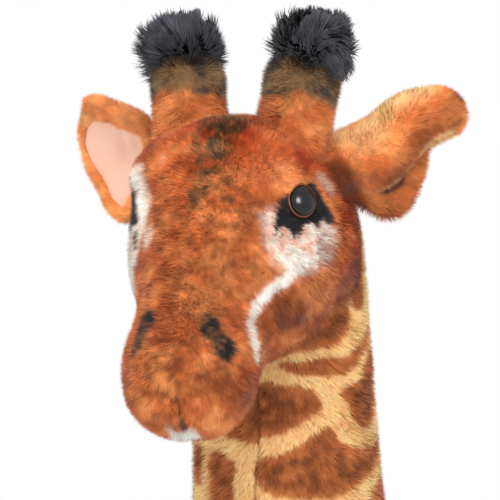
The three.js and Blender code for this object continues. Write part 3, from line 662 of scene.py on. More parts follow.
def mottle(points, size, key):
    """One smooth random number from -1 to 1."""
    return cloud(points, size, key)[:, 0]


def locks(points, size, key):
    """The middle of the lock that each point belongs to, and a random number for that lock."""
    cell = np.floor(points / size)
    best, middle, number = np.full(len(points), np.inf), np.zeros_like(points), np.zeros(len(points))
    for step in np.ndindex(3, 3, 3):
        near = cell + np.array(step) - 1
        random = hashed(near, key)
        place = (near + random) * size
        apart = ((points - place) ** 2).sum(1)
        closer = apart < best
        best[closer], middle[closer], number[closer] = apart[closer], place[closer], random[closer, 0]
    return middle, number


print("a cloud differs from 0 by", cloud(skins["head"].points, 0.01, 0).std().round(2), "on average")

# %% [markdown]
# ## Pile
# Blender's hair curves would be the usual way to make fur, but they vanish from an exported model. So each
# fibre is a thin mesh blade: its foot on the skin, its tip leaning the way the pile was brushed, bent with
# its neighbours into locks. One blade stands for a few real fibres. Its normals are turned toward the
# skin's, which makes thousands of flat blades shade like one soft surface. All the blades of a piece are
# worked out at once, as arrays.


# %% Planting blades
way_wave, tilt_wave = 0.013, 0.02   # sizes of the slow waves in the pile's way and in its tilt


def plant(skin, name, count, comb, length, width, lean=0.9, wild=0.35, lock_size=0.004, lock_pull=0.4,
          droop=0.0, steps=1, trim=None):
    """Blades on a skin. comb gives the way they lean, from their feet and the normals and marks there."""
    random = np.random.default_rng(seed + sum(map(ord, name)))
    weight = skin.areas * skin.thickness[skin.triangles].mean(1)
    line = np.cumsum(weight)
    pick = (np.arange(count) + random.random(count)) / count * line[-1]
    pick = np.searchsorted(line, pick).clip(0, len(weight) - 1)
    corner = random.random((count, 2))
    corner = np.where(corner.sum(1, keepdims=True) > 1, 1 - corner, corner)
    corner = np.column_stack((1 - corner.sum(1), corner))[..., None]
    foot, normal, marks = ((values[skin.triangles[pick]] * corner).sum(1)
                           for values in (skin.points, skin.normals, skin.marks))
    normal = unit(normal)
    middle, lock = locks(foot, lock_size, 11)
    pull, free = middle - foot, 1 - lock_pull
    root = foot + lock_pull * pull
    way = comb(root, normal, marks) + wild * cloud(root, way_wave, 5)
    way = way + free * wild * (2 * random.random((count, 3)) - 1)
    way = unit(way - (way * normal).sum(1, keepdims=True) * normal)
    tilt = lean * (1 + 0.30 * cloud(root, tilt_wave, 7)[:, :1])
    tilt = (tilt + 0.35 * free * (2 * random.random((count, 1)) - 1)).clip(0.05, 1.5)
    reach = length * (0.75 + 0.5 * (free * random.random((count, 1)) + lock_pull * lock[:, None]))
    if trim is not None:
        reach = reach * trim(foot, marks)[:, None]
    pull = pull - (pull * normal).sum(1, keepdims=True) * normal
    tip = reach * (normal * np.cos(tilt) + way * np.sin(tilt)) + lock_pull * pull - droop * reach * up
    side = np.cross(tip, normal + 0.35 * (2 * random.random((count, 3)) - 1))
    side = unit(side) * width * (0.7 + 0.6 * random.random((count, 1))) / 2
    arch = reach * normal * np.cos(tilt * 0.4)
    rows = []
    for step in range(steps):
        share = step / steps
        curve = foot + share * (1 - share) * arch + share * tip
        thin = 1 - 0.5 * share
        rows += [curve - side * thin, curve + side * thin]
    points = np.stack(rows + [foot + tip], 1)
    blade = unit(np.cross(side, tip))
    blade = blade * np.where((blade * normal).sum(1, keepdims=True) < 0, -1, 1)
    shading = np.repeat(unit(0.80 * normal + 0.20 * blade)[:, None], points.shape[1], 1)
    corner = 2 * (steps - 1)
    faces = [face for low in range(0, corner, 2)
             for face in ((low, low + 1, low + 2), (low + 1, low + 3, low + 2))]
    faces.append((corner, corner + 1, corner + 2))
    faces = (np.arange(count)[:, None, None] * points.shape[1] + np.array(faces)).reshape(-1, 3)
    lying = tip - (tip * normal).sum(1, keepdims=True) * normal
    return Pile(name, points, faces, shading, foot + 0.6 * lying, marks, random.random(count), lock)


print("the head's skin has", round(skins["head"].areas.sum() * 1e4), "square centimetres to plant")


# %% A pile of blades
class Pile:
    """The blades of one piece, before they become a mesh."""

    def __init__(self, name, points, faces, shading, foot, marks, strand, lock):
        self.name, self.points, self.faces, self.shading = name, points, faces, shading
        self.foot, self.marks, self.strand, self.lock = foot, marks, strand, lock

    def make(self, paint, finish):
        """Builds the mesh, painted by a function of the place under each blade's middle."""
        count, corners = self.points.shape[:2]
        along = np.append(np.repeat(np.arange((corners - 1) // 2) / ((corners - 1) // 2), 2), 1.0)
        foot, painted, strand, lock = (
            np.repeat(values[:, None], corners, 1)
            for values in (self.foot, paint(self.foot, self.marks), self.strand, self.lock))
        shade = np.stack((np.broadcast_to(along, (count, corners)), strand, lock), -1)
        across_cells = math.ceil(math.sqrt(count / 3))
        cell = np.arange(count) // 3
        place = np.stack((cell % across_cells, cell // across_cells), -1)[:, None] / across_cells
        spot = np.stack((0.15 + 0.7 * (np.arange(corners) % 2), 0.12 + 0.76 * along), -1) / across_cells
        spot[-1, 0] = 0.5 / across_cells
        unwrapped = (place + spot).reshape(-1, 2)[self.faces.ravel()]
        obj = build(self.name, self.points.reshape(-1, 3), self.faces, {
            "custom_normal": self.shading.reshape(-1, 3), "foot": foot.reshape(-1, 3),
            "shade": shade.reshape(-1, 3), "paint": painted.reshape(-1, 3)}, unwrapped)
        obj.data.materials.append(finish)
        return obj


print("the skins to plant:", len(skins))

# %% [markdown]
# ## Painted pile
# On the real toy the markings are dyed and sprayed on the fibres. Here every foot gets three numbers: how
# black, how pale and how dark its fibre is. The outlines are places on the head, in shares of its length,
# depth and width, so a marking stays where it belongs when the head changes.
# Some of these numbers are painted light and shade: a brighter brow, and a shadow in the rolled ear's slit.


# %% Helpers of the painters
def head_place(points):
    away = points - skull
    return away @ head_along / head_length, away @ head_out / head_depth, away @ across / head_width


def rise(value, low, high):
    t = np.clip((value - low) / (high - low), 0, 1)
    return t * t * (3 - 2 * t)


def fall(value, low, high):
    return 1 - rise(value, low, high)


def apart_from(u, v, line, ends):
    """How far places lie from a line through others, in metres."""
    nearest = np.full(len(u), np.inf)
    for (au, av), (bu, bv) in zip(line, ends):
        du, dv = bu - au, bv - av
        t = (((u - au) * du + (v - av) * dv) / (du * du + dv * dv)).clip(0, 1)
        nearest = np.minimum(nearest, np.hypot(u - au - t * du, v - av - t * dv))
    return nearest


def depth_inside(u, v, corners):
    """How deep a place lies inside a closed outline, in metres; negative outside."""
    ends = np.roll(corners, -1, 0)
    nearest, within = apart_from(u, v, corners, ends), np.zeros(len(u), bool)
    for (au, av), (bu, bv) in zip(corners, ends):
        within ^= ((av > v) != (bv > v)) & (u < (bu - au) * (v - av) / (bv - av or 1e-9) + au)
    return np.where(within, nearest, -nearest)


def inside(u, v, corners, soft):
    """1 inside a closed outline and 0 outside it, over an edge soft metres wide."""
    return rise(depth_inside(u, v, corners), -soft, soft)


def stripe(u, v, line, half_width, soft):
    """1 along a line through places, 0 away from it."""
    return fall(apart_from(u, v, line, line[1:]), half_width - soft, half_width + soft)


def blot(u, v, place, stretch, low, high):
    """1 within low metres of a place and 0 beyond high, with each direction stretched."""
    return fall(np.hypot((u - place[0]) * stretch[0], (v - place[1]) * stretch[1]), low, high)


def outline(scale, *places):
    """One place or more, given in thousandths of the head's sizes."""
    return np.array(places) / 1000 * scale


print("a rise from 1 to 4 has at 2 come to", round(float(rise(2, 1, 4)), 2))

# %% Outlines on the head
side_scale, face_scale = np.array((head_length, head_depth)), np.array((head_length, head_width))
# On the side of the head: places along it and out of its face
eye_patch = outline(side_scale, (24, 105), (12, 60), (10, 30), (23, -3), (42, -70), (67, -129), (85, -147),
    (83, -110), (96, -87), (87, -65), (118, -39), (110, -10), (132, 26), (175, 40), (166, 60), (187, 73),
    (166, 110), (172, 135), (196, 151), (169, 165), (126, 175), (83, 171), (56, 137))
pale_round_eye = outline(side_scale, (126, 195), (157, 215), (207, 184), (244, 145), (264, 92), (282, 29),
    (271, -28), (242, -71), (214, -129), (168, -189), (124, -196), (84, -168), (76, -41), (92, 61),
    (112, 150))
whitest = outline(side_scale, 232, 10)
far_shift = 0.0085   # on the right the markings lie this much further to the front
pale_over_eye = outline(side_scale, (-24, 37), (-35, -15), (-31, -76), (-12, -115), (7, -89), (5, -29),
    (-7, 12))
cheek_line = outline(side_scale, (240, 0), (291, 20), (329, 49), (361, 65), (407, 73), (447, 72), (483, 35),
    (520, -20))
cheek_blot = outline(side_scale, (353, 30), (328, 10), (305, -34), (306, -100), (321, -190), (355, -240),
    (385, -160), (394, -65), (387, 0))
far_mark = outline(side_scale, (200, 135), (245, 130))
# On the front of the face: places along it and to its left
smudge = outline(face_scale, (-200, -123), (-200, 130), (-119, 120), (-67, 146), (-12, 137), (23, 108),
    (62, 90), (93, 78), (136, 59), (172, 40), (173, -5), (137, -11), (89, -2), (53, -23), (-6, -36),
    (-60, -68), (-117, -110))
# painted light: the part of the brow that is painted brighter, where the light falls most
lit_brow = outline(face_scale, (-49, 154), (-90, 229), (-85, 317), (-52, 402), (-17, 445), (21, 411),
    (64, 356), (73, 279), (43, 212))
left_nostril = outline(face_scale, (467, 128), (464, 163), (480, 194), (514, 221), (522, 254), (549, 270),
    (584, 259), (590, 235), (569, 205), (543, 175), (520, 141))
right_nostril = outline(face_scale, (470, -105), (495, -77), (529, -92), (559, -116), (581, -139),
    (597, -155), (594, -185), (566, -180), (524, -180), (480, -155))
far_pale = outline(face_scale, (10, -350), (46, -325), (89, -270), (142, -238), (197, -246), (245, -272),
    (290, -305), (335, -350), (350, -440), (300, -560), (60, -560), (0, -450))
brow_spots = outline(face_scale, (83, 150), (138, 175))
lip_notch, temple_streak, peach = outline(face_scale, (737, 46), (10, -212), (240, -213))
lip_parting = 0.0083
# Darker places of the muzzle: shares along it and to its left, and their size
muzzle_blots = (0.620, 0.075, 0.010), (0.645, 0.219, 0.011)
print("markings:", len(eye_patch), "places round the eye patch")

# %% [markdown]
# The painter reads these outlines. Each edge is drawn a little off its line by noise, as a spray or a row
# of fibres would, and the shares are broken up into specks so that no marking is one flat colour.


# %% The painter of the head
def paint_head(foot, _):
    """How black, pale and dark each fibre is; below 0, pale stands for tan and dark for bright."""
    drift = 0.0016 * cloud(foot, 0.005, 21) + 0.0014 * cloud(foot, 0.0018, 22)
    along, out, side = head_place(foot + drift)
    u, on_side, on_face = along * head_length, out * head_depth, side * head_width
    flank, front, far = rise(np.abs(side), 0.20, 0.24), rise(out, 0.10, 0.16), (side < 0).astype(float)
    on_side = on_side - far_shift * far
    coarse, fine = mottle(foot, 0.006, 23), mottle(foot, 0.0025, 24)
    specks = coarse + 0.9 * fine + 0.6 * cloud(foot, 0.016, 25)[:, 1]
    streaks = 0.003 * mottle(foot * (1, 1, 0.35), 0.0022, 27) * rise(u, 0.020, 0.045)

    patches = np.maximum(inside(u + streaks, on_side, eye_patch, 0.0014),
                         stripe(u, on_side, far_mark, 0.0020, 0.0012) * far) * flank
    nostrils = [inside(u, on_face, nostril, 0.002) for nostril in (left_nostril, right_nostril)]
    nostrils = np.maximum(*nostrils) * front
    smudged = inside(u, on_face, smudge, 0.006) * front
    haze = np.maximum(smudged * (0.32 + 0.34 * rise(along, -0.06, 0.02)) * rise(specks, -0.6, 0.9),
                      nostrils * (0.55 + 0.45 * rise(specks, -0.8, 0.3)))
    spots = sum(blot(u, on_face, place, (1, 0.7), 0.002, 0.005) for place in brow_spots) * front * 0.45
    lip = blot(u, on_face, lip_notch, (1, 1), 0.0015, 0.0050) * 0.8 * rise(out, 0.02, 0.05)
    black = np.maximum.reduce((patches, haze, spots, lip))

    near_pale = np.maximum.reduce((
        inside(u, on_side, pale_round_eye, 0.006) * (0.48 + 0.45 * rise(coarse + 0.8 * fine, -0.6, 0.4)),
        blot(u, on_side, whitest, (1.2, 1), 0.008, 0.016), 0.62 * inside(u, on_side, pale_over_eye, 0.004),
        stripe(u, on_side, cheek_line, 0.0048, 0.0024))) * flank * (1 - far)
    far_white = inside(u, on_face, far_pale, 0.004) * rise(out, -0.25, -0.05) * far
    chin = rise(along + 0.01 * coarse, 0.735, 0.746) * fall(np.abs(side - 0.02), 0.05, 0.09)
    pale = np.maximum.reduce((
        near_pale, far_white * (0.75 + 0.25 * rise(coarse, -0.5, 0.3)), chin * fall(out, 0.03, 0.08),
        0.4 * blot(u, on_face, temple_streak, (0.7, 3), 0.002, 0.006) * front,
        0.6 * blot(u, on_face, peach, (0.6, 1), 0.003, 0.008) * front))
    tanned = (0.95 - 0.25 * rise(along, -0.05, 0.02)) * smudged * rise(specks, -1.4, 0.0)
    pale = pale * (1 - black) - np.maximum(tanned, 0.45 * nostrils) * (pale < 0.05)

    # painted light: the brow over the left eye is made brighter and kept free of dark blots
    glow = inside(u, on_face, lit_brow, 0.014) * front
    tips = 0.6 * rise(fine - coarse, 0, 1) * rise(along, 0.60, 0.68)
    tips = tips + 0.35 * rise(-coarse - 0.5 * fine, 0.3, 1)
    dark = 0.18 * rise(mottle(foot, 0.030, 26) + 0.4 * coarse + 0.3 * fine, -0.2, 0.9)
    dark = (dark + 0.38 * rise(0.6 * fine + coarse, -0.3, 0.9)) * (1 - 0.85 * glow)
    dark = dark + 0.15 * flank * (1 - glow)
    dark = dark + 0.75 * inside(u, on_side, cheek_blot, 0.006) * flank * (1 - far)
    dark = dark + 0.30 * rise(along, 0.14, 0.30) * fall(np.abs(side), 0.10, 0.42) * front
    for along_share, side_share, size in muzzle_blots:
        place = along_share * head_length, side_share * head_width
        dark = dark + 0.5 * blot(u, on_face, place, (1.6, 1), 0.3 * size, 1.6 * size)
    dark = dark + 0.50 * rise(-out, 0.30, 0.55) * fall(along, 0.25, 0.40)
    dark = dark + 0.8 * fall(np.abs(on_face - lip_parting), 0.0006, 0.0022) * rise(along, 0.665, 0.685)
    # below 0, dark stands for bright: painted light on the brow, and paler tips on the muzzle
    return np.stack((black, pale, (dark - 0.6 * glow - tips * (1 - smudged)).clip(-1, 1)), 1)


painted = paint_head(skins["head"].points, None)
print("on average black, pale and dark are", painted.mean(0).round(2))

# %% [markdown]
# ## Patches on a net
# A giraffe's patches are cells of a net. Points are strewn over the skin; a fibre that is nearly as far
# from its second nearest point as from its nearest lies on a line of the net. On the front of the neck the
# patches are outlined one by one, as in the photograph: each place there is a turn round the neck from the
# throat, and a height.

# %% Patches on the front of the neck
neck_radius, corner_round = 0.075, 0.0022
front_patches = [
    [(1.42, 1.05), (1.78, 1.05), (1.8, 1.015), (1.67, 1.005), (1.51, 1.003), (1.38, 1.01)],
    [(0.38, 0.977), (0.43, 0.985), (0.67, 0.989), (0.82, 0.996), (1.02, 1.005), (1.24, 1.013),
     (1.37, 1.004), (1.42, 0.998), (1.32, 0.986), (1.17, 0.977), (1.05, 0.974), (0.88, 0.974),
     (0.71, 0.971), (0.59, 0.971), (0.48, 0.973)],
    [(0.38, 0.96), (0.46, 0.965), (0.64, 0.963), (0.93, 0.967), (1.26, 0.966), (1.47, 0.974), (1.71, 0.982),
     (1.9, 0.991), (2.02, 0.988), (1.78, 0.974), (1.6, 0.967), (1.44, 0.958), (1.24, 0.952), (0.95, 0.951),
     (0.67, 0.952), (0.47, 0.955)],
    [(1.75, 0.968), (1.95, 0.974), (2.05, 0.96), (2.05, 0.935), (1.9, 0.916), (1.65, 0.907), (1.47, 0.906),
     (1.31, 0.915), (1.22, 0.929), (1.1, 0.935), (1.12, 0.94), (1.28, 0.944), (1.41, 0.945), (1.53, 0.95),
     (1.61, 0.961)],
    [(0.14, 0.957), (0.16, 0.947), (0.29, 0.947), (0.46, 0.945), (0.63, 0.943), (0.77, 0.941), (0.8, 0.934),
     (0.87, 0.927), (0.81, 0.922), (0.66, 0.916), (0.57, 0.912), (0.41, 0.905), (0.26, 0.903),
     (0.16, 0.902), (0.13, 0.896), (0.01, 0.897), (-0.13, 0.9), (-0.29, 0.905), (-0.45, 0.91),
     (-0.43, 0.931), (-0.11, 0.952)],
    [(0.17, 0.886), (0.31, 0.887), (0.47, 0.892), (0.59, 0.897), (0.71, 0.903), (0.84, 0.909),
     (0.93, 0.911), (1, 0.907), (1.05, 0.899), (1.18, 0.893), (1.44, 0.89), (1.76, 0.892), (2.02, 0.897),
     (2.02, 0.885), (1.78, 0.876), (1.48, 0.866), (1.21, 0.857), (0.9, 0.851), (0.44, 0.852), (0.29, 0.855),
     (0.19, 0.858), (0.11, 0.867), (0.08, 0.876), (0.12, 0.884)],
    [(-0.45, 0.89), (-0.28, 0.889), (-0.15, 0.883), (-0.11, 0.875), (-0.14, 0.863), (-0.14, 0.845),
     (-0.48, 0.845), (-0.48, 0.865), (-0.52, 0.877)],
    [(-0.92, 0.893), (-0.67, 0.893), (-0.61, 0.881), (-0.64, 0.872), (-0.68, 0.86), (-0.86, 0.86),
     (-0.96, 0.87)],
    [(2.2, 0.862), (2.25, 0.845), (1.43, 0.845), (1.61, 0.855), (1.81, 0.864)],
    [(-0.6, 0.905), (-0.6, 0.95), (-1, 0.95), (-1, 0.905)],
]
throat_seam = [(0.14, 0.949), (0.16, 0.933), (0.16, 0.908), (0.14, 0.888), (0.1, 0.867), (0.09, 0.852),
    (0.05, 0.8), (0.02, 0.7)]


def neck_place(points):
    """The way round the neck from the throat, in metres, and the height."""
    middle = np.interp(points[:, 2], *np.array(neck_rows)[:, (2, 1)].T)
    return neck_radius * np.arctan2(points[:, 0] - origin[0], middle - points[:, 1]), points[:, 2]


def round_neck(places):
    return np.array(places) * (neck_radius, 1)


seam_line = round_neck(throat_seam)
seam_depth, seam_half_width = 0.0022, 0.004
turned, height = neck_place(skins["neck"].points)
skins["neck"].points -= skins["neck"].normals * (
    seam_depth * stripe(turned, height, seam_line, seam_half_width / 2, seam_half_width / 2))[:, None]
skins["neck"].settle()
print("hand-drawn patches:", len(front_patches))


# %% The net
def strew(skin, spacing):
    """Middles of patches, spacing metres apart or a little more."""
    places = [skin.points[len(skin.points) // 3]]
    apart = np.linalg.norm(skin.points - places[0], axis=1)
    while apart.max() > spacing:
        places.append(skin.points[apart.argmax()])
        apart = np.minimum(apart, np.linalg.norm(skin.points - places[-1], axis=1))
    return np.array(places)


def net_painter(skin, spacing, line, drawn=None, fade=None):
    """Paints cells with the distance to their edges, added up softly so that the corners are round.

    drawn puts other patches in their place; between the two heights of fade the patches fade out downward."""
    places = strew(skin, spacing)

    def paint(foot, _):
        moved_foot = foot + 0.006 * cloud(foot, 0.030, 31) + 0.0014 * cloud(foot, 0.004, 32)
        first, nearest = np.full(len(foot), np.inf), np.zeros(len(foot), int)
        for index, place in enumerate(places):
            apart = ((moved_foot - place) ** 2).sum(1)
            nearest = np.where(apart < first, index, nearest)
            first = np.minimum(first, apart)
        closeness = 0
        for index, place in enumerate(places):
            between = np.linalg.norm(places[nearest] - place, axis=1)
            edge = (((moved_foot - place) ** 2).sum(1) - first) / (2 * np.maximum(between, 1e-6))
            closeness = closeness + np.where((between > 0) & (edge < 0.03), np.exp(-edge / corner_round), 0)
        gap = -corner_round * np.log(np.maximum(closeness, 1e-9)) - line
        if drawn is not None:
            gap = drawn(foot, gap)
        pale = fall(gap, -0.0014, 0.0014)
        dark = 0.85 * rise(gap, 0.002, 0.011) * rise(mottle(foot, 0.006, 33), -0.7, 0.5)
        if drawn is not None:
            sewn = seam_shade(foot)
            pale, dark = pale * (1 - 0.5 * sewn), np.maximum(dark, sewn)
        if fade:
            worn = fall(foot[:, 2], *fade)
            pale, dark = np.maximum(pale, worn), dark * (1 - worn)
        return np.stack((0 * pale, pale, dark), 1)

    return paint


print("round corners of the cells:", corner_round * 1000, "mm")


# %% The front of the neck, and plain pile
def seam_shade(foot):
    """The throat's seam draws the pile in, so it shows as a dark line."""
    turned, height = neck_place(foot + 0.0010 * cloud(foot, 0.004, 37))
    return stripe(turned, height, seam_line, 0.0013, 0.0011)


def draw_front(foot, gap):
    """Puts the drawn patches in place of the net's on the front of the neck."""
    drift = 0.0011 * cloud(foot, 0.004, 35) + 0.0010 * cloud(foot, 0.0016, 36)
    turned, height = neck_place(foot + drift)
    drawn = np.full(len(foot), -0.02)
    for patch in front_patches:
        drawn = np.maximum(drawn, depth_inside(turned, height, round_neck(patch)))
    share = (rise(turned, -0.080, -0.072) * fall(turned, 0.150, 0.165) * rise(height, 0.838, 0.848)
             * fall(height, 1.05, 1.07))
    return gap + share * (drawn - gap)


def paint_plain(foot, _):
    dark = 0.2 * (1 + 0.8 * mottle(foot, 0.012, 34))
    return np.stack((0 * dark, 0 * dark, dark), 1)


print("plain pile is", paint_plain(skins["mane"].points, None)[:, 2].mean().round(2), "dark")

# %% [markdown]
# ## Materials
# One function makes every pile: it mixes the base, light and dark colours by soft noise at the fibre's
# foot, lays the pale and black markings over them, and shades each fibre from its root to its tip, because
# less light reaches the roots. Single fibres and locks differ a little. A weak sheen stands for light
# caught by the tips.

# %% Pile materials
def colour(red, green, blue):
    """A colour as an eye reads it, 0 to 255, turned into the even steps of light that a render works in."""
    steps = [value / 255 for value in (red, green, blue)]
    return (*[value / 12.92 if value < 0.04045 else ((value + 0.055) / 1.055) ** 2.4 for value in steps], 1)


def new_material(name, **values):
    material = bpy.data.materials.new(name)
    material.use_nodes = True
    shader = material.node_tree.nodes["Principled BSDF"]
    for key, value in values.items():
        shader.inputs[key.replace("_", " ")].default_value = value
    return material, Wire(material.node_tree), shader


def feed(wire, shader, name):
    wire.tree.links.new(wire.socket, shader.inputs[name])


tan, bright, brightest = colour(140, 108, 72), colour(238, 162, 104), 0.97
white, cream, soot, dark_brown = (255, 246, 236), (255, 204, 142), (42, 41, 43), (146, 74, 38)


def pile_material(name, base, light, dark, pale=cream, black=soot, root=0.80, tip=1.22):
    base, light, dark, pale, black = (colour(*tone) for tone in (base, light, dark, pale, black))
    material, wire, shader = new_material(name, Roughness=0.85, Specular_IOR_Level=0.15, Sheen_Weight=0.12,
                                          Sheen_Roughness=0.5)
    foot, shade, paint = (wire.node("ShaderNodeAttribute", {"attribute_name": kept}, None, "Vector")
                          for kept in ("foot", "shade", "paint"))
    (along, strand, lock), (black_share, pale_share, dark_share) = shade.parts(), paint.parts()
    coat = foot.noise(0.022, 2.0).step(0.42, 0.62).mix(base, light)
    coat = dark_share.minimum(1.0).mix(coat, dark)
    coat = (dark_share * -1.0).mix(coat, bright)
    coat = (pale_share * -1.0).mix(coat, tan)
    coat = (pale_share * (0.82 + 0.18 * strand)).mix(coat, pale)
    coat = (black_share * (1.0 + 0.15 * strand)).minimum(1.0).mix(coat, black)
    # painted shade: each fibre is darker toward its root, where less light reaches, and lighter toward its
    # tip
    depth = root + (tip - root) * along
    brightness = depth * (0.84 + 0.32 * strand) * (0.81 + 0.38 * lock)
    shaded = coat.node("ShaderNodeVectorMath", {"operation": "SCALE"}, {0: coat, "Scale": brightness})
    feed(shaded.minimum(brightest), shader, "Base Color")
    return material


coat_pile = pile_material("coat pile", (208, 115, 60), (232, 150, 88), dark_brown, white)
neck_pile = pile_material("neck pile", (176, 100, 52), (192, 114, 62), (118, 62, 34), root=0.84, tip=1.34)
ear_pile = pile_material("ear pile", (224, 127, 66), (240, 154, 88), dark_brown, (255, 218, 156))
tuft_pile = pile_material("tuft pile", (60, 60, 65), (78, 78, 85), (32, 32, 35), white, root=0.5, tip=1.6)
mane_pile = pile_material("mane pile", (150, 84, 44), (176, 102, 54), (96, 50, 26))
hoof_pile = pile_material("hoof pile", (70, 50, 38), (84, 62, 46), (46, 32, 24))
print("piles:", [m.name for m in bpy.data.materials if "pile" in m.name])

# %% [markdown]
# ## Felt, eyes and the inner parts
# The lining is smooth felt with a faint weave. The eyes are polished black plastic in a thin brown ring.
# Filling, rods and washers can't be seen, but they are there in the model, so they get plain honest
# finishes: matt fibre fleece, drawn steel and dull plastic. Every one of them wanders a little between two
# tones, because no real surface is one flat colour.

# %% Other finishes
def mottled(name, size, detail, first, second, **values):
    """A finish whose colour wanders between two tones, in blots size metres wide."""
    material, wire, shader = new_material(name, **values)
    place = wire.node("ShaderNodeTexCoord", None, None, "Object")
    feed(place.noise(size, detail).mix(colour(*first), colour(*second)), shader, "Base Color")
    return material, place, shader


felt, place, shader = mottled("lining felt", 0.018, 3.0, (222, 172, 148), (230, 188, 168), Roughness=0.9,
                              Specular_IOR_Level=0.2, Sheen_Weight=0.2)
weave = {"Strength": 0.25, "Distance": 0.0004, "Height": place.noise(0.0012, 2.0)}
feed(place.node("ShaderNodeBump", None, weave), shader, "Normal")
fleece, _, _ = mottled("filling fleece", 0.010, 4.0, (226, 224, 216), (246, 245, 240), Roughness=1.0)
drawn_steel, _, _ = mottled("drawn steel", 0.004, 3.0, (150, 153, 156), (186, 188, 190),
                            Metallic=1.0, Roughness=0.35)
washer_plastic, _, _ = mottled("washer plastic", 0.005, 2.0, (218, 217, 210), (226, 225, 218), Roughness=0.5)
sole_cloth, _, _ = mottled("sole cloth", 0.002, 2.0, (52, 40, 33), (70, 55, 46), Roughness=0.95)
eye_black, place, shader = mottled("eye black", 0.006, 3.0, (12, 14, 16), (16, 18, 20),
                                   Specular_IOR_Level=0.36)
feed(0.18 + 0.06 * place.noise(0.0015, 4.0), shader, "Roughness")
eye_ring, place, shader = mottled("eye ring", 0.004, 3.0, (98, 55, 40), (118, 69, 52),
                                  Specular_IOR_Level=0.30)
feed(0.21 + 0.08 * place.noise(0.0012, 4.0), shader, "Roughness")
print("finishes:", len(bpy.data.materials))

# %% [markdown]
# ## Where skins meet
# A skin that runs on inside another would hide fibres that nobody sees. How deep each place lies in its
# neighbours thins the pile there to nothing. On the head it is also thinned to a clear ring round each eye.

# %% Thinning
buried, clear_ring = (0.004, 0.008), (0.0118, 0.0128)   # depth in a neighbour, and distance from an eye
joined = {"head": ["neck"], "neck": ["head", "body"], "body": ["neck"], "mane": ["neck", "head", "body"],
          "ossicone_left": ["head"], "ossicone_right": ["head"], "tail": ["body"],
          "tuft_left": ["ossicone_left"], "tuft_right": ["ossicone_right"],
          **{"leg_" + name: ["body"] for name in legs}, **{"hoof_" + name: ["leg_" + name] for name in legs}}
for name, others in joined.items():
    for other in others:
        skins[name].thickness *= fall(skins[name].depth_in(skins[other]), *buried)

eye_along, eye_out, eye_aside, eye_raise = 0.087, 0.070, 0.445, 0.0060
eye_frames = {}
for name, side in sides.items():
    facing = unit(np.array((side * 0.86, -0.48, 0.15)))
    eye_frames[name] = on_head(eye_along, eye_out, side * eye_aside) + eye_raise * up, facing
    clear = eye_frames[name][0] + 0.0020 * back - 0.0016 * up   # the brow's fibres hang a little over the eye
    away = skins["head"].points - clear
    away = np.linalg.norm(away - (away @ facing)[:, None] * facing, axis=1)
    near = np.linalg.norm(skins["head"].points - eye_frames[name][0], axis=1) < 0.03
    skins["head"].thickness *= np.where(near, rise(away, *clear_ring), 1)


def eye_trim(foot, _):
    """Fibres round an eye are clipped short, so they frame it."""
    kept = np.ones(len(foot))
    for place, facing in eye_frames.values():
        kept *= 0.45 + 0.55 * rise(np.linalg.norm(foot - place, axis=1), 0.012, 0.020)
    return kept


print({name: round(float(skins[name].thickness.mean()), 2) for name in joined})

# %% [markdown] ## Dressing the skins Each skin gets a backing mesh in its own colours, darkened like the
# roots, and one or more pieces of pile on it.


def dress(name, skin, finish, paint, replaced, piles, body="giraffe"):
    """The backing of a skin, with its pile on it."""
    colours = paint(skin.points, skin.marks)
    # painted shade: the backing takes the dark colour of the fibres' roots
    shade = np.tile((0.25, 0.5, 0.5), (len(skin.points), 1))
    backing = build(name, skin.points, skin.triangles,
                    {"foot": skin.points, "shade": shade, "paint": colours})
    backing.data.materials.append(finish)
    for pile_of_skin in piles:
        obj = pile_of_skin.make(paint, finish)
        obj.parent = backing
        obj.visible_shadow = finish == tuft_pile
    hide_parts(*replaced)
    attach(backing, body)


def comb_head(foot, *_):
    """Down the face, and outward and down over the cheeks."""
    side = (foot - skull) @ across / head_width
    outward = 0.35 * np.sign(side)[:, None] * rise(np.abs(side), 0.05, 0.3)[:, None] * across
    return head_along + outward - 0.25 * up


def combed(way):
    """Combs a whole skin one way."""
    return lambda foot, *_: np.tile(way, (len(foot), 1))


comb_down = combed(-up + 0.15 * back)


def share_of(skin, weights):
    """A copy of the skin with its pile thinned by further weights."""
    part = Skin(skin.points, skin.triangles)
    part.marks, part.thickness = skin.marks, skin.thickness * weights
    return part


# %% The head
head = skins["head"]
along, out, side = head_place(head.points)
muzzle_share = rise(along, 0.30, 0.36)
face_share = (1 - muzzle_share) * rise(out, -0.12, -0.04)
rear_share = (1 - muzzle_share) * fall(out, -0.12, -0.04)
few = 1.0


def blades(count):
    return int(count * few)


short_pile = {"lock_size": 0.0032, "lock_pull": 0.28}
head_parts = ("muzzle", muzzle_share, 175000), ("face", face_share, 185000), ("rear", rear_share, 75000)
head_piles = [plant(share_of(head, weights), "head_pile_" + part, blades(count), comb_head, 0.0086, 0.00052,
                    lean=0.48, wild=0.80, trim=eye_trim, **short_pile)
              for part, weights, count in head_parts]
dress("head_backing", head, coat_pile, paint_head, ["head_skin"], head_piles)
print("blades on the head:", sum(len(p.foot) for p in head_piles))

# %% [markdown]
# ## Neck, body and legs
# The neck's pile is two pieces: fine and dense at the top, where the photograph shows it, and coarser below.
# Body and legs are further down still, so fewer and broader blades cover them, and the whole toy stays light
# enough to export. The legs grow pale toward the hooves, as the net's patches fade out.

# %% Neck, body and legs
neck_paint = net_painter(skins["neck"], 0.056, 0.0048, draw_front)
body_paint = net_painter(skins["body"], 0.066, 0.0058)
neck = skins["neck"]
neck_high = rise(neck.points[:, 2], 0.80, 0.86)
neck_parts = ("top", neck_high, 150000, 0.0007), ("foot", 1 - neck_high, 60000, 0.0014)
neck_piles = [plant(share_of(neck, weights), "neck_pile_" + part, blades(count), comb_down, 0.0080, width,
                    lean=0.46, wild=0.70, lock_size=0.0030, lock_pull=0.28)
              for part, weights, count, width in neck_parts]
dress("neck_backing", neck, neck_pile, neck_paint, ["neck_skin"], neck_piles)

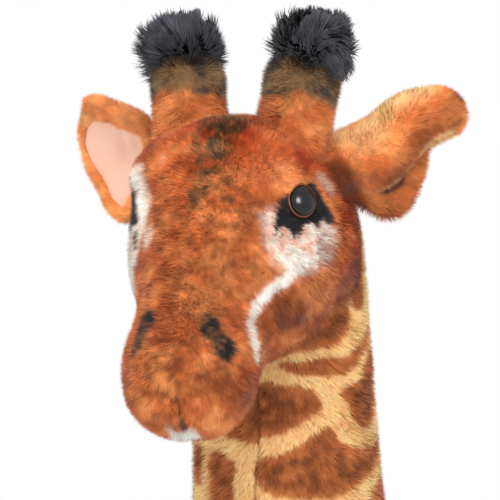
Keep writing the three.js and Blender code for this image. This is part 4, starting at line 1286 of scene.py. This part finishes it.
body_pile = plant(skins["body"], "body_pile", blades(90000), combed(0.8 * back - 0.6 * up),
                  0.0100, 0.0017, lean=1.0, lock_size=0.006)
leg_fade = 0.10, 0.26   # between these heights the legs grow pale downward
dress("body_backing", skins["body"], neck_pile, body_paint, ["body_skin"], [body_pile])
for name in legs:
    leg, hoof = skins["leg_" + name], skins["hoof_" + name]
    leg_pile = plant(leg, f"leg_pile_{name}", blades(35000), comb_down, 0.0095, 0.0016,
                     lean=1.05, lock_size=0.006)
    dress(f"leg_backing_{name}", leg, neck_pile, net_painter(leg, 0.052, 0.0045, fade=leg_fade),
          ["leg_skin_" + name], [leg_pile])
    hoof_hair = plant(hoof, f"hoof_pile_{name}", blades(9000), comb_down, 0.0060, 0.0011,
                      lean=1.15, lock_size=0.004)
    dress(f"hoof_backing_{name}", hoof, hoof_pile, paint_plain, ["hoof_" + name], [hoof_hair])
print("legs dressed:", len(legs))

# %% [markdown]
# ## Horns
# The columns have the coat's short pile with a burnt dark band at the top. On each stands a mop of long
# black pile, stiff enough to spike outward. These blades are bent once on their way, and gather into a few
# big locks of different lengths, which gives the ragged edge.

# %% Columns and mops
mop_lock = 0.0065


def paint_column(side):
    foot_of_column, _, _, column_up = ossicone_frame(side)

    def paint(foot, _):
        height = (foot - foot_of_column) @ column_up / ossicone_length
        coarse = mottle(foot, 0.0035, 41)
        band = rise(height + 0.10 * mottle(foot, 0.010, 42), 0.40, 0.54)
        blots = mottle(foot, 0.012, 44) + 0.6 * coarse + 0.6 * mottle(foot, 0.0016, 45)
        black = np.maximum(band * (0.15 + 0.7 * rise(blots, -0.4, 0.9)), rise(height, 0.90, 1.0))
        dark = 0.25 + 0.4 * rise(mottle(foot, 0.02, 43) + 0.5 * coarse, -0.2, 0.8)
        return np.stack((black, -0.95 * band, dark), 1)

    return paint


def mop_shape(side):
    """The comb and the trim of a mop. It is shorter at its top and inner side; on the left it hangs over."""
    foot_of_column, _, _, column_up = ossicone_frame(side)
    top_trim = 0.58 if side > 0 else 0.72

    def place(foot):
        away = foot - foot_of_column - ossicone_length * column_up
        return away, side * (away @ across), away @ column_up / tuft_length

    def comb(foot, *_):
        away, outward, height = place(foot)
        hang = rise(outward, 0.004, 0.020) * fall(height, 0.05, 0.40) * (side > 0)
        return (0.8 - 1.7 * hang)[:, None] * column_up + 0.4 * unit(away)

    def trim(foot, _):
        _, outward, height = place(foot)
        spiky = 0.40 * locks(foot, mop_lock, 31)[1]
        return 0.92 - top_trim * rise(height, 0.0, 0.55) + spiky - 0.24 * rise(-outward, 0.0, 0.026)

    return comb, trim


for name, side in sides.items():
    column, mop = skins["ossicone_" + name], skins["tuft_" + name]
    column_hair = plant(column, "ossicone_pile_" + name, blades(40000), comb_down, 0.0082, 0.00055,
                        lean=0.50, wild=0.75, **short_pile)
    dress("ossicone_backing_" + name, column, coat_pile, paint_column(side), ["ossicone_" + name],
          [column_hair])
    comb, trim = mop_shape(side)
    mop_hair = plant(mop, "tuft_pile_" + name, blades(8000), comb, 0.0210, 0.0013, lean=0.55, wild=0.70,
                     lock_size=mop_lock, lock_pull=0.75, steps=2, trim=trim)
    dress("tuft_backing_" + name, mop, tuft_pile, paint_plain, ["ossicone_tuft_" + name], [mop_hair])
print("blades in a mop:", len(mop_hair.foot))

# %% [markdown]
# ## The ears' pile and lining
# The pile covers the back of each leaf and wraps over its edges. On the open ear it also covers a rim of
# the front, since the felt is sewn in a little way from the edge.

# %% Ears and linings
furred = {"left": 0.05, "right": 0.19}


def ear_painter(leaf, is_rolled):
    """On the rolled ear: pale cream and painted light on top, pale round the opening, painted shadow in its
    crease.
    """

    def paint(foot, marks):
        coarse, streak = mottle(foot, 0.0035, 51), 0.5 + 0.5 * mottle(foot * (0.5, 1, 1), 0.012, 52)
        along, across_leaf, _ = marks.T
        across_leaf = across_leaf + 0.003 * mottle(foot, 0.006, 53)
        if not is_rolled:
            pale = (0.16 + 0.16 * rise(along, 0.5, 0.9)) * streak
            dark = 0.5 * fall(across_leaf, 0.0, 0.03) * streak + 0.2 * rise(coarse, 0, 1)
            return np.stack((0 * pale, pale, dark.clip(0, 1)), 1)
        below = across_leaf - np.interp(along, leaf.along[:, 0], leaf.crease)
        # painted light: the top of the rolled ear is paler, partly its cream pile and partly the light from
        # above
        lit = fall(below - 0.012 * rise(along, 0.45, 0.80), -0.062, -0.040) * rise(below, -0.078, -0.066)
        pale = lit * (0.72 + 0.28 * rise(along, 0.20, 0.50)) * fall(along + 0.05 * coarse, 0.80, 0.92)
        dark = rise(below, -0.036, -0.020) * fall(below, -0.012, -0.004) * rise(along, 0.1, 0.3)
        dark = dark * (0.55 + 0.45 * streak) + 0.2 * rise(coarse, 0, 1) + 0.3 * rise(below, 0, 0.004)
        dark = np.maximum(dark, fall(along, 0.02, 0.10) * rise(below, -0.046, -0.034))
        rim = 0.8 * fall(np.abs(below + 0.0085), 0.0018, 0.0036) * rise(along, 0.16, 0.24)
        strip = 0.9 * fall(np.abs(below - 0.001), 0.003, 0.006) * rise(along, 0.60, 0.66)
        edges = np.maximum(rim, strip) * fall(along, 0.84, 0.90)
        pale = np.maximum(pale * (0.85 + 0.15 * streak), edges)
        # painted shadow: the slit under the rolled edge, which overhangs the flap, is blackened
        slit = fall(np.abs(below + 0.0005), 0.0030, 0.0055) * rise(along, 0.14, 0.22)
        black = 0.85 * slit * fall(along, 0.56, 0.62)
        return np.stack((black, pale * (1 - black), dark.clip(0, 1)), 1)

    return paint


for name, leaf in leaves.items():
    skin = skins["ear_" + name]
    top_edge, low_edge = lining_edges[name]
    along_leaf, across_leaf, on_back = skin.marks.T
    width_there = np.interp(along_leaf, leaf.along[:, 0], leaf.reach[:, -1])
    rim = np.maximum(across_leaf < top_edge + 0.001, width_there - across_leaf < low_edge + 0.001)
    skin.thickness = np.maximum(on_back, np.maximum(rim, (along_leaf > 0.93) | (along_leaf < furred[name])))
    ear_hair = plant(skin, "ear_pile_" + name, blades(80000), combed(leaf.tip - 0.25 * up), 0.0070, 0.00052,
                     lean=0.52, wild=0.70, lock_size=0.0030, lock_pull=0.28)
    dress("ear_backing_" + name, skin, ear_pile, ear_painter(leaf, leaf is rolled), ["ear_" + name],
          [ear_hair], "ear_" + name)
    sheet = build("lining_" + name, linings[name].points, linings[name].triangles)
    sheet.data.materials.append(felt)
    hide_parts("ear_lining_" + name)
    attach(sheet, "ear_" + name)
print("ears dressed:", list(leaves))

# %% [markdown]
# ## Eyes
# A safety eye is a dome with a narrow brim on a shank that goes through the skin. Turning a profile about
# an axis is the natural way to make it: one profile for the black dome, and one for the brown brim that
# frames it.

# %% Turned eyes
turn_steps = 48


def turn(name, profile, place, facing, finish):
    """Turns a profile of radius and height about a line, and smooths it."""
    aside = unit(np.cross(facing, up))
    upward = np.cross(aside, facing)
    angle = np.arange(turn_steps) / turn_steps * 2 * np.pi
    circle = np.cos(angle)[:, None] * aside + np.sin(angle)[:, None] * upward
    rings = [place + high * facing + radius * circle for radius, high in profile]
    skin = over_rings(np.concatenate(rings), len(rings), turn_steps)
    obj = build(name, skin.points, skin.triangles)
    obj.data.materials.append(finish)
    return obj


eye_radius, brim, dome_height = eye_width / 2 + 0.0022, 0.0011, 0.0072
dome_radius = eye_radius - brim
dome = [(0.002, -0.006), (dome_radius, -0.006), (dome_radius, 0.0)] + [
    (dome_radius * math.cos(t), dome_height * math.sin(t)) for t in np.linspace(0, np.pi / 2 - 0.02, 16)[1:]]
brim_profile = [(eye_radius - 2 * brim, -0.004), (eye_radius, -0.004)] + [
    (dome_radius + brim * math.cos(t), 0.0002 + brim * math.sin(t)) for t in np.linspace(0, np.pi, 9)]
for name, (place, facing) in eye_frames.items():
    seat = place - 0.0006 * facing
    eye = turn("eye_dome_" + name, dome, seat, facing, eye_black)
    ring = turn("eye_brim_" + name, brim_profile, seat, facing, eye_ring)
    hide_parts("eye_" + name)
    for obj in (eye, ring):
        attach(obj, "giraffe")
print("an eye is", round(2 * eye_radius * 1000), "mm across")

# %% [markdown]
# ## Mane and tail
# The mane's blades are longer and stand steeper than the coat's, and are bent once, as a crest of yarn would
# be. The tail is a plush cord that ends in a tuft. The tuft's long blades droop by their own weight, which a
# steady pull down at their tips imitates well enough without a simulation.

# %% Mane and tail
mane_hair = plant(skins["mane"], "mane_pile", blades(25000), combed(0.8 * back + 0.3 * up),
                  0.0170, 0.0011, lean=0.8, lock_size=0.007, lock_pull=0.6, steps=2)
dress("mane_backing", skins["mane"], mane_pile, paint_plain, ["mane"], [mane_hair])
tail, tail_tuft = skins["tail"], skins["tail_tuft"]
tail_hair = plant(tail, "tail_pile", blades(20000), comb_down, 0.0070, 0.0009, lean=1.0, lock_size=0.004)
dress("tail_backing", tail, neck_pile, net_painter(tail, 0.045, 0.004), ["tail_cord"], [tail_hair],
      "tail")
tail_mop = plant(tail_tuft, "tail_tuft_pile", blades(8000), comb_down, 0.0260, 0.0011,
                 lean=1.2, wild=0.3, lock_size=0.008, lock_pull=0.6, droop=0.2, steps=3)
dress("tail_tuft_backing", tail_tuft, tuft_pile, paint_plain, ["tail_tuft"], [tail_mop], "tail")
print("blades on mane and tail:", sum(len(hair.foot) for hair in (mane_hair, tail_hair, tail_mop)))

# %% [markdown]
# ## Finishes of the packed parts
# The filling, the rods, the washers and the soles stay the packed model's own. The names of their nodes say
# what they are, so a short table of words finds the finish of each.

# %% Packed parts
finish_of = {"filling": fleece, "rod": drawn_steel, "washer": washer_plastic, "sole": sole_cloth}
for name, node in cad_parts.items():
    for word, finish in finish_of.items():
        if word in name:
            node.data.materials.clear()
            node.data.materials.append(finish)
print("packed parts:", len(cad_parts))

# %% [markdown]
# ## The studio
# The photograph was lit softly from all round, a little more from above, against plain white. The world
# gives most of the light, evenly. A big key lamp from above in front gives the form its shading, and two
# weaker ones at the sides open the shadows. A fourth lamp is seen only in the polished eye, where it makes
# the highlight. The world shows pure white to the camera and in reflections.

# %% World, lamps and floor
world = bpy.data.worlds.new("studio")
bpy.context.scene.world = world
world.use_nodes = True
sky = Wire(world.node_tree)
seen = [sky.node("ShaderNodeLightPath", None, None, f"Is {kind} Ray")
        for kind in ("Camera", "Glossy", "Transmission")]
shown = (seen[0] + seen[1] + seen[2]).minimum(1.0)
ambient = 0.80
background = world.node_tree.nodes["Background"]
background.inputs["Color"].default_value = (1, 1, 1, 1)
world.node_tree.links.new((ambient + (1 - ambient) * shown).socket, background.inputs["Strength"])


def lamp(name, place, target, size, power):
    data = bpy.data.lights.new(name, "AREA")
    data.size, data.energy = size, power
    return aimed(name, data, place, target)


middle_of_head = tuple(on_head(0.2, 0, 0))
lamps = [lamp("key lamp", (0.8, -1.9, 3.3), middle_of_head, 1.4, 50),
         lamp("side lamp", (-2.0, -1.8, 1.6), middle_of_head, 1.4, 18),
         lamp("fill lamp", (1.7, -1.4, 1.4), middle_of_head, 1.0, 13),
         lamp("eye lamp", (1.63, -1.49, 1.51), tuple(eye_frames["left"][0]), 0.75, 40)]
for light in lamps[:3]:
    light.visible_glossy = False
lamps[3].visible_diffuse = False   # it is only seen in polished surfaces

floor_size, shadow_reach = 8.0, (0.7, 1.8)
floor = build("floor", np.array([(-1, -1, 0), (1, -1, 0), (1, 1, 0), (-1, 1, 0)]) * floor_size / 2,
              np.array([[0, 1, 2], [0, 2, 3]]))
paper, wire, shader = new_material("studio paper", Base_Color=(0.9, 0.9, 0.9, 1), Roughness=0.9)
away = wire.node("ShaderNodeVectorMath", {"operation": "LENGTH"}, {
    0: wire.node("ShaderNodeTexCoord", None, None, "Object")}, "Value").step(*shadow_reach)
seen = wire.node("ShaderNodeLightPath", None, None, "Is Camera Ray")
glow = wire.node("ShaderNodeEmission", None, {"Color": (1, 1, 1, 1), "Strength": 1.0})
faded = wire.node("ShaderNodeMixShader", None, {
    0: away * seen, 1: Wire(paper.node_tree, shader.outputs[0]), 2: glow})
paper.node_tree.links.new(faded.socket, paper.node_tree.nodes["Material Output"].inputs["Surface"])
floor.data.materials.append(paper)
bpy.context.scene.view_settings.view_transform = "Standard"
print("lamps:", [obj.name for obj in lamps])
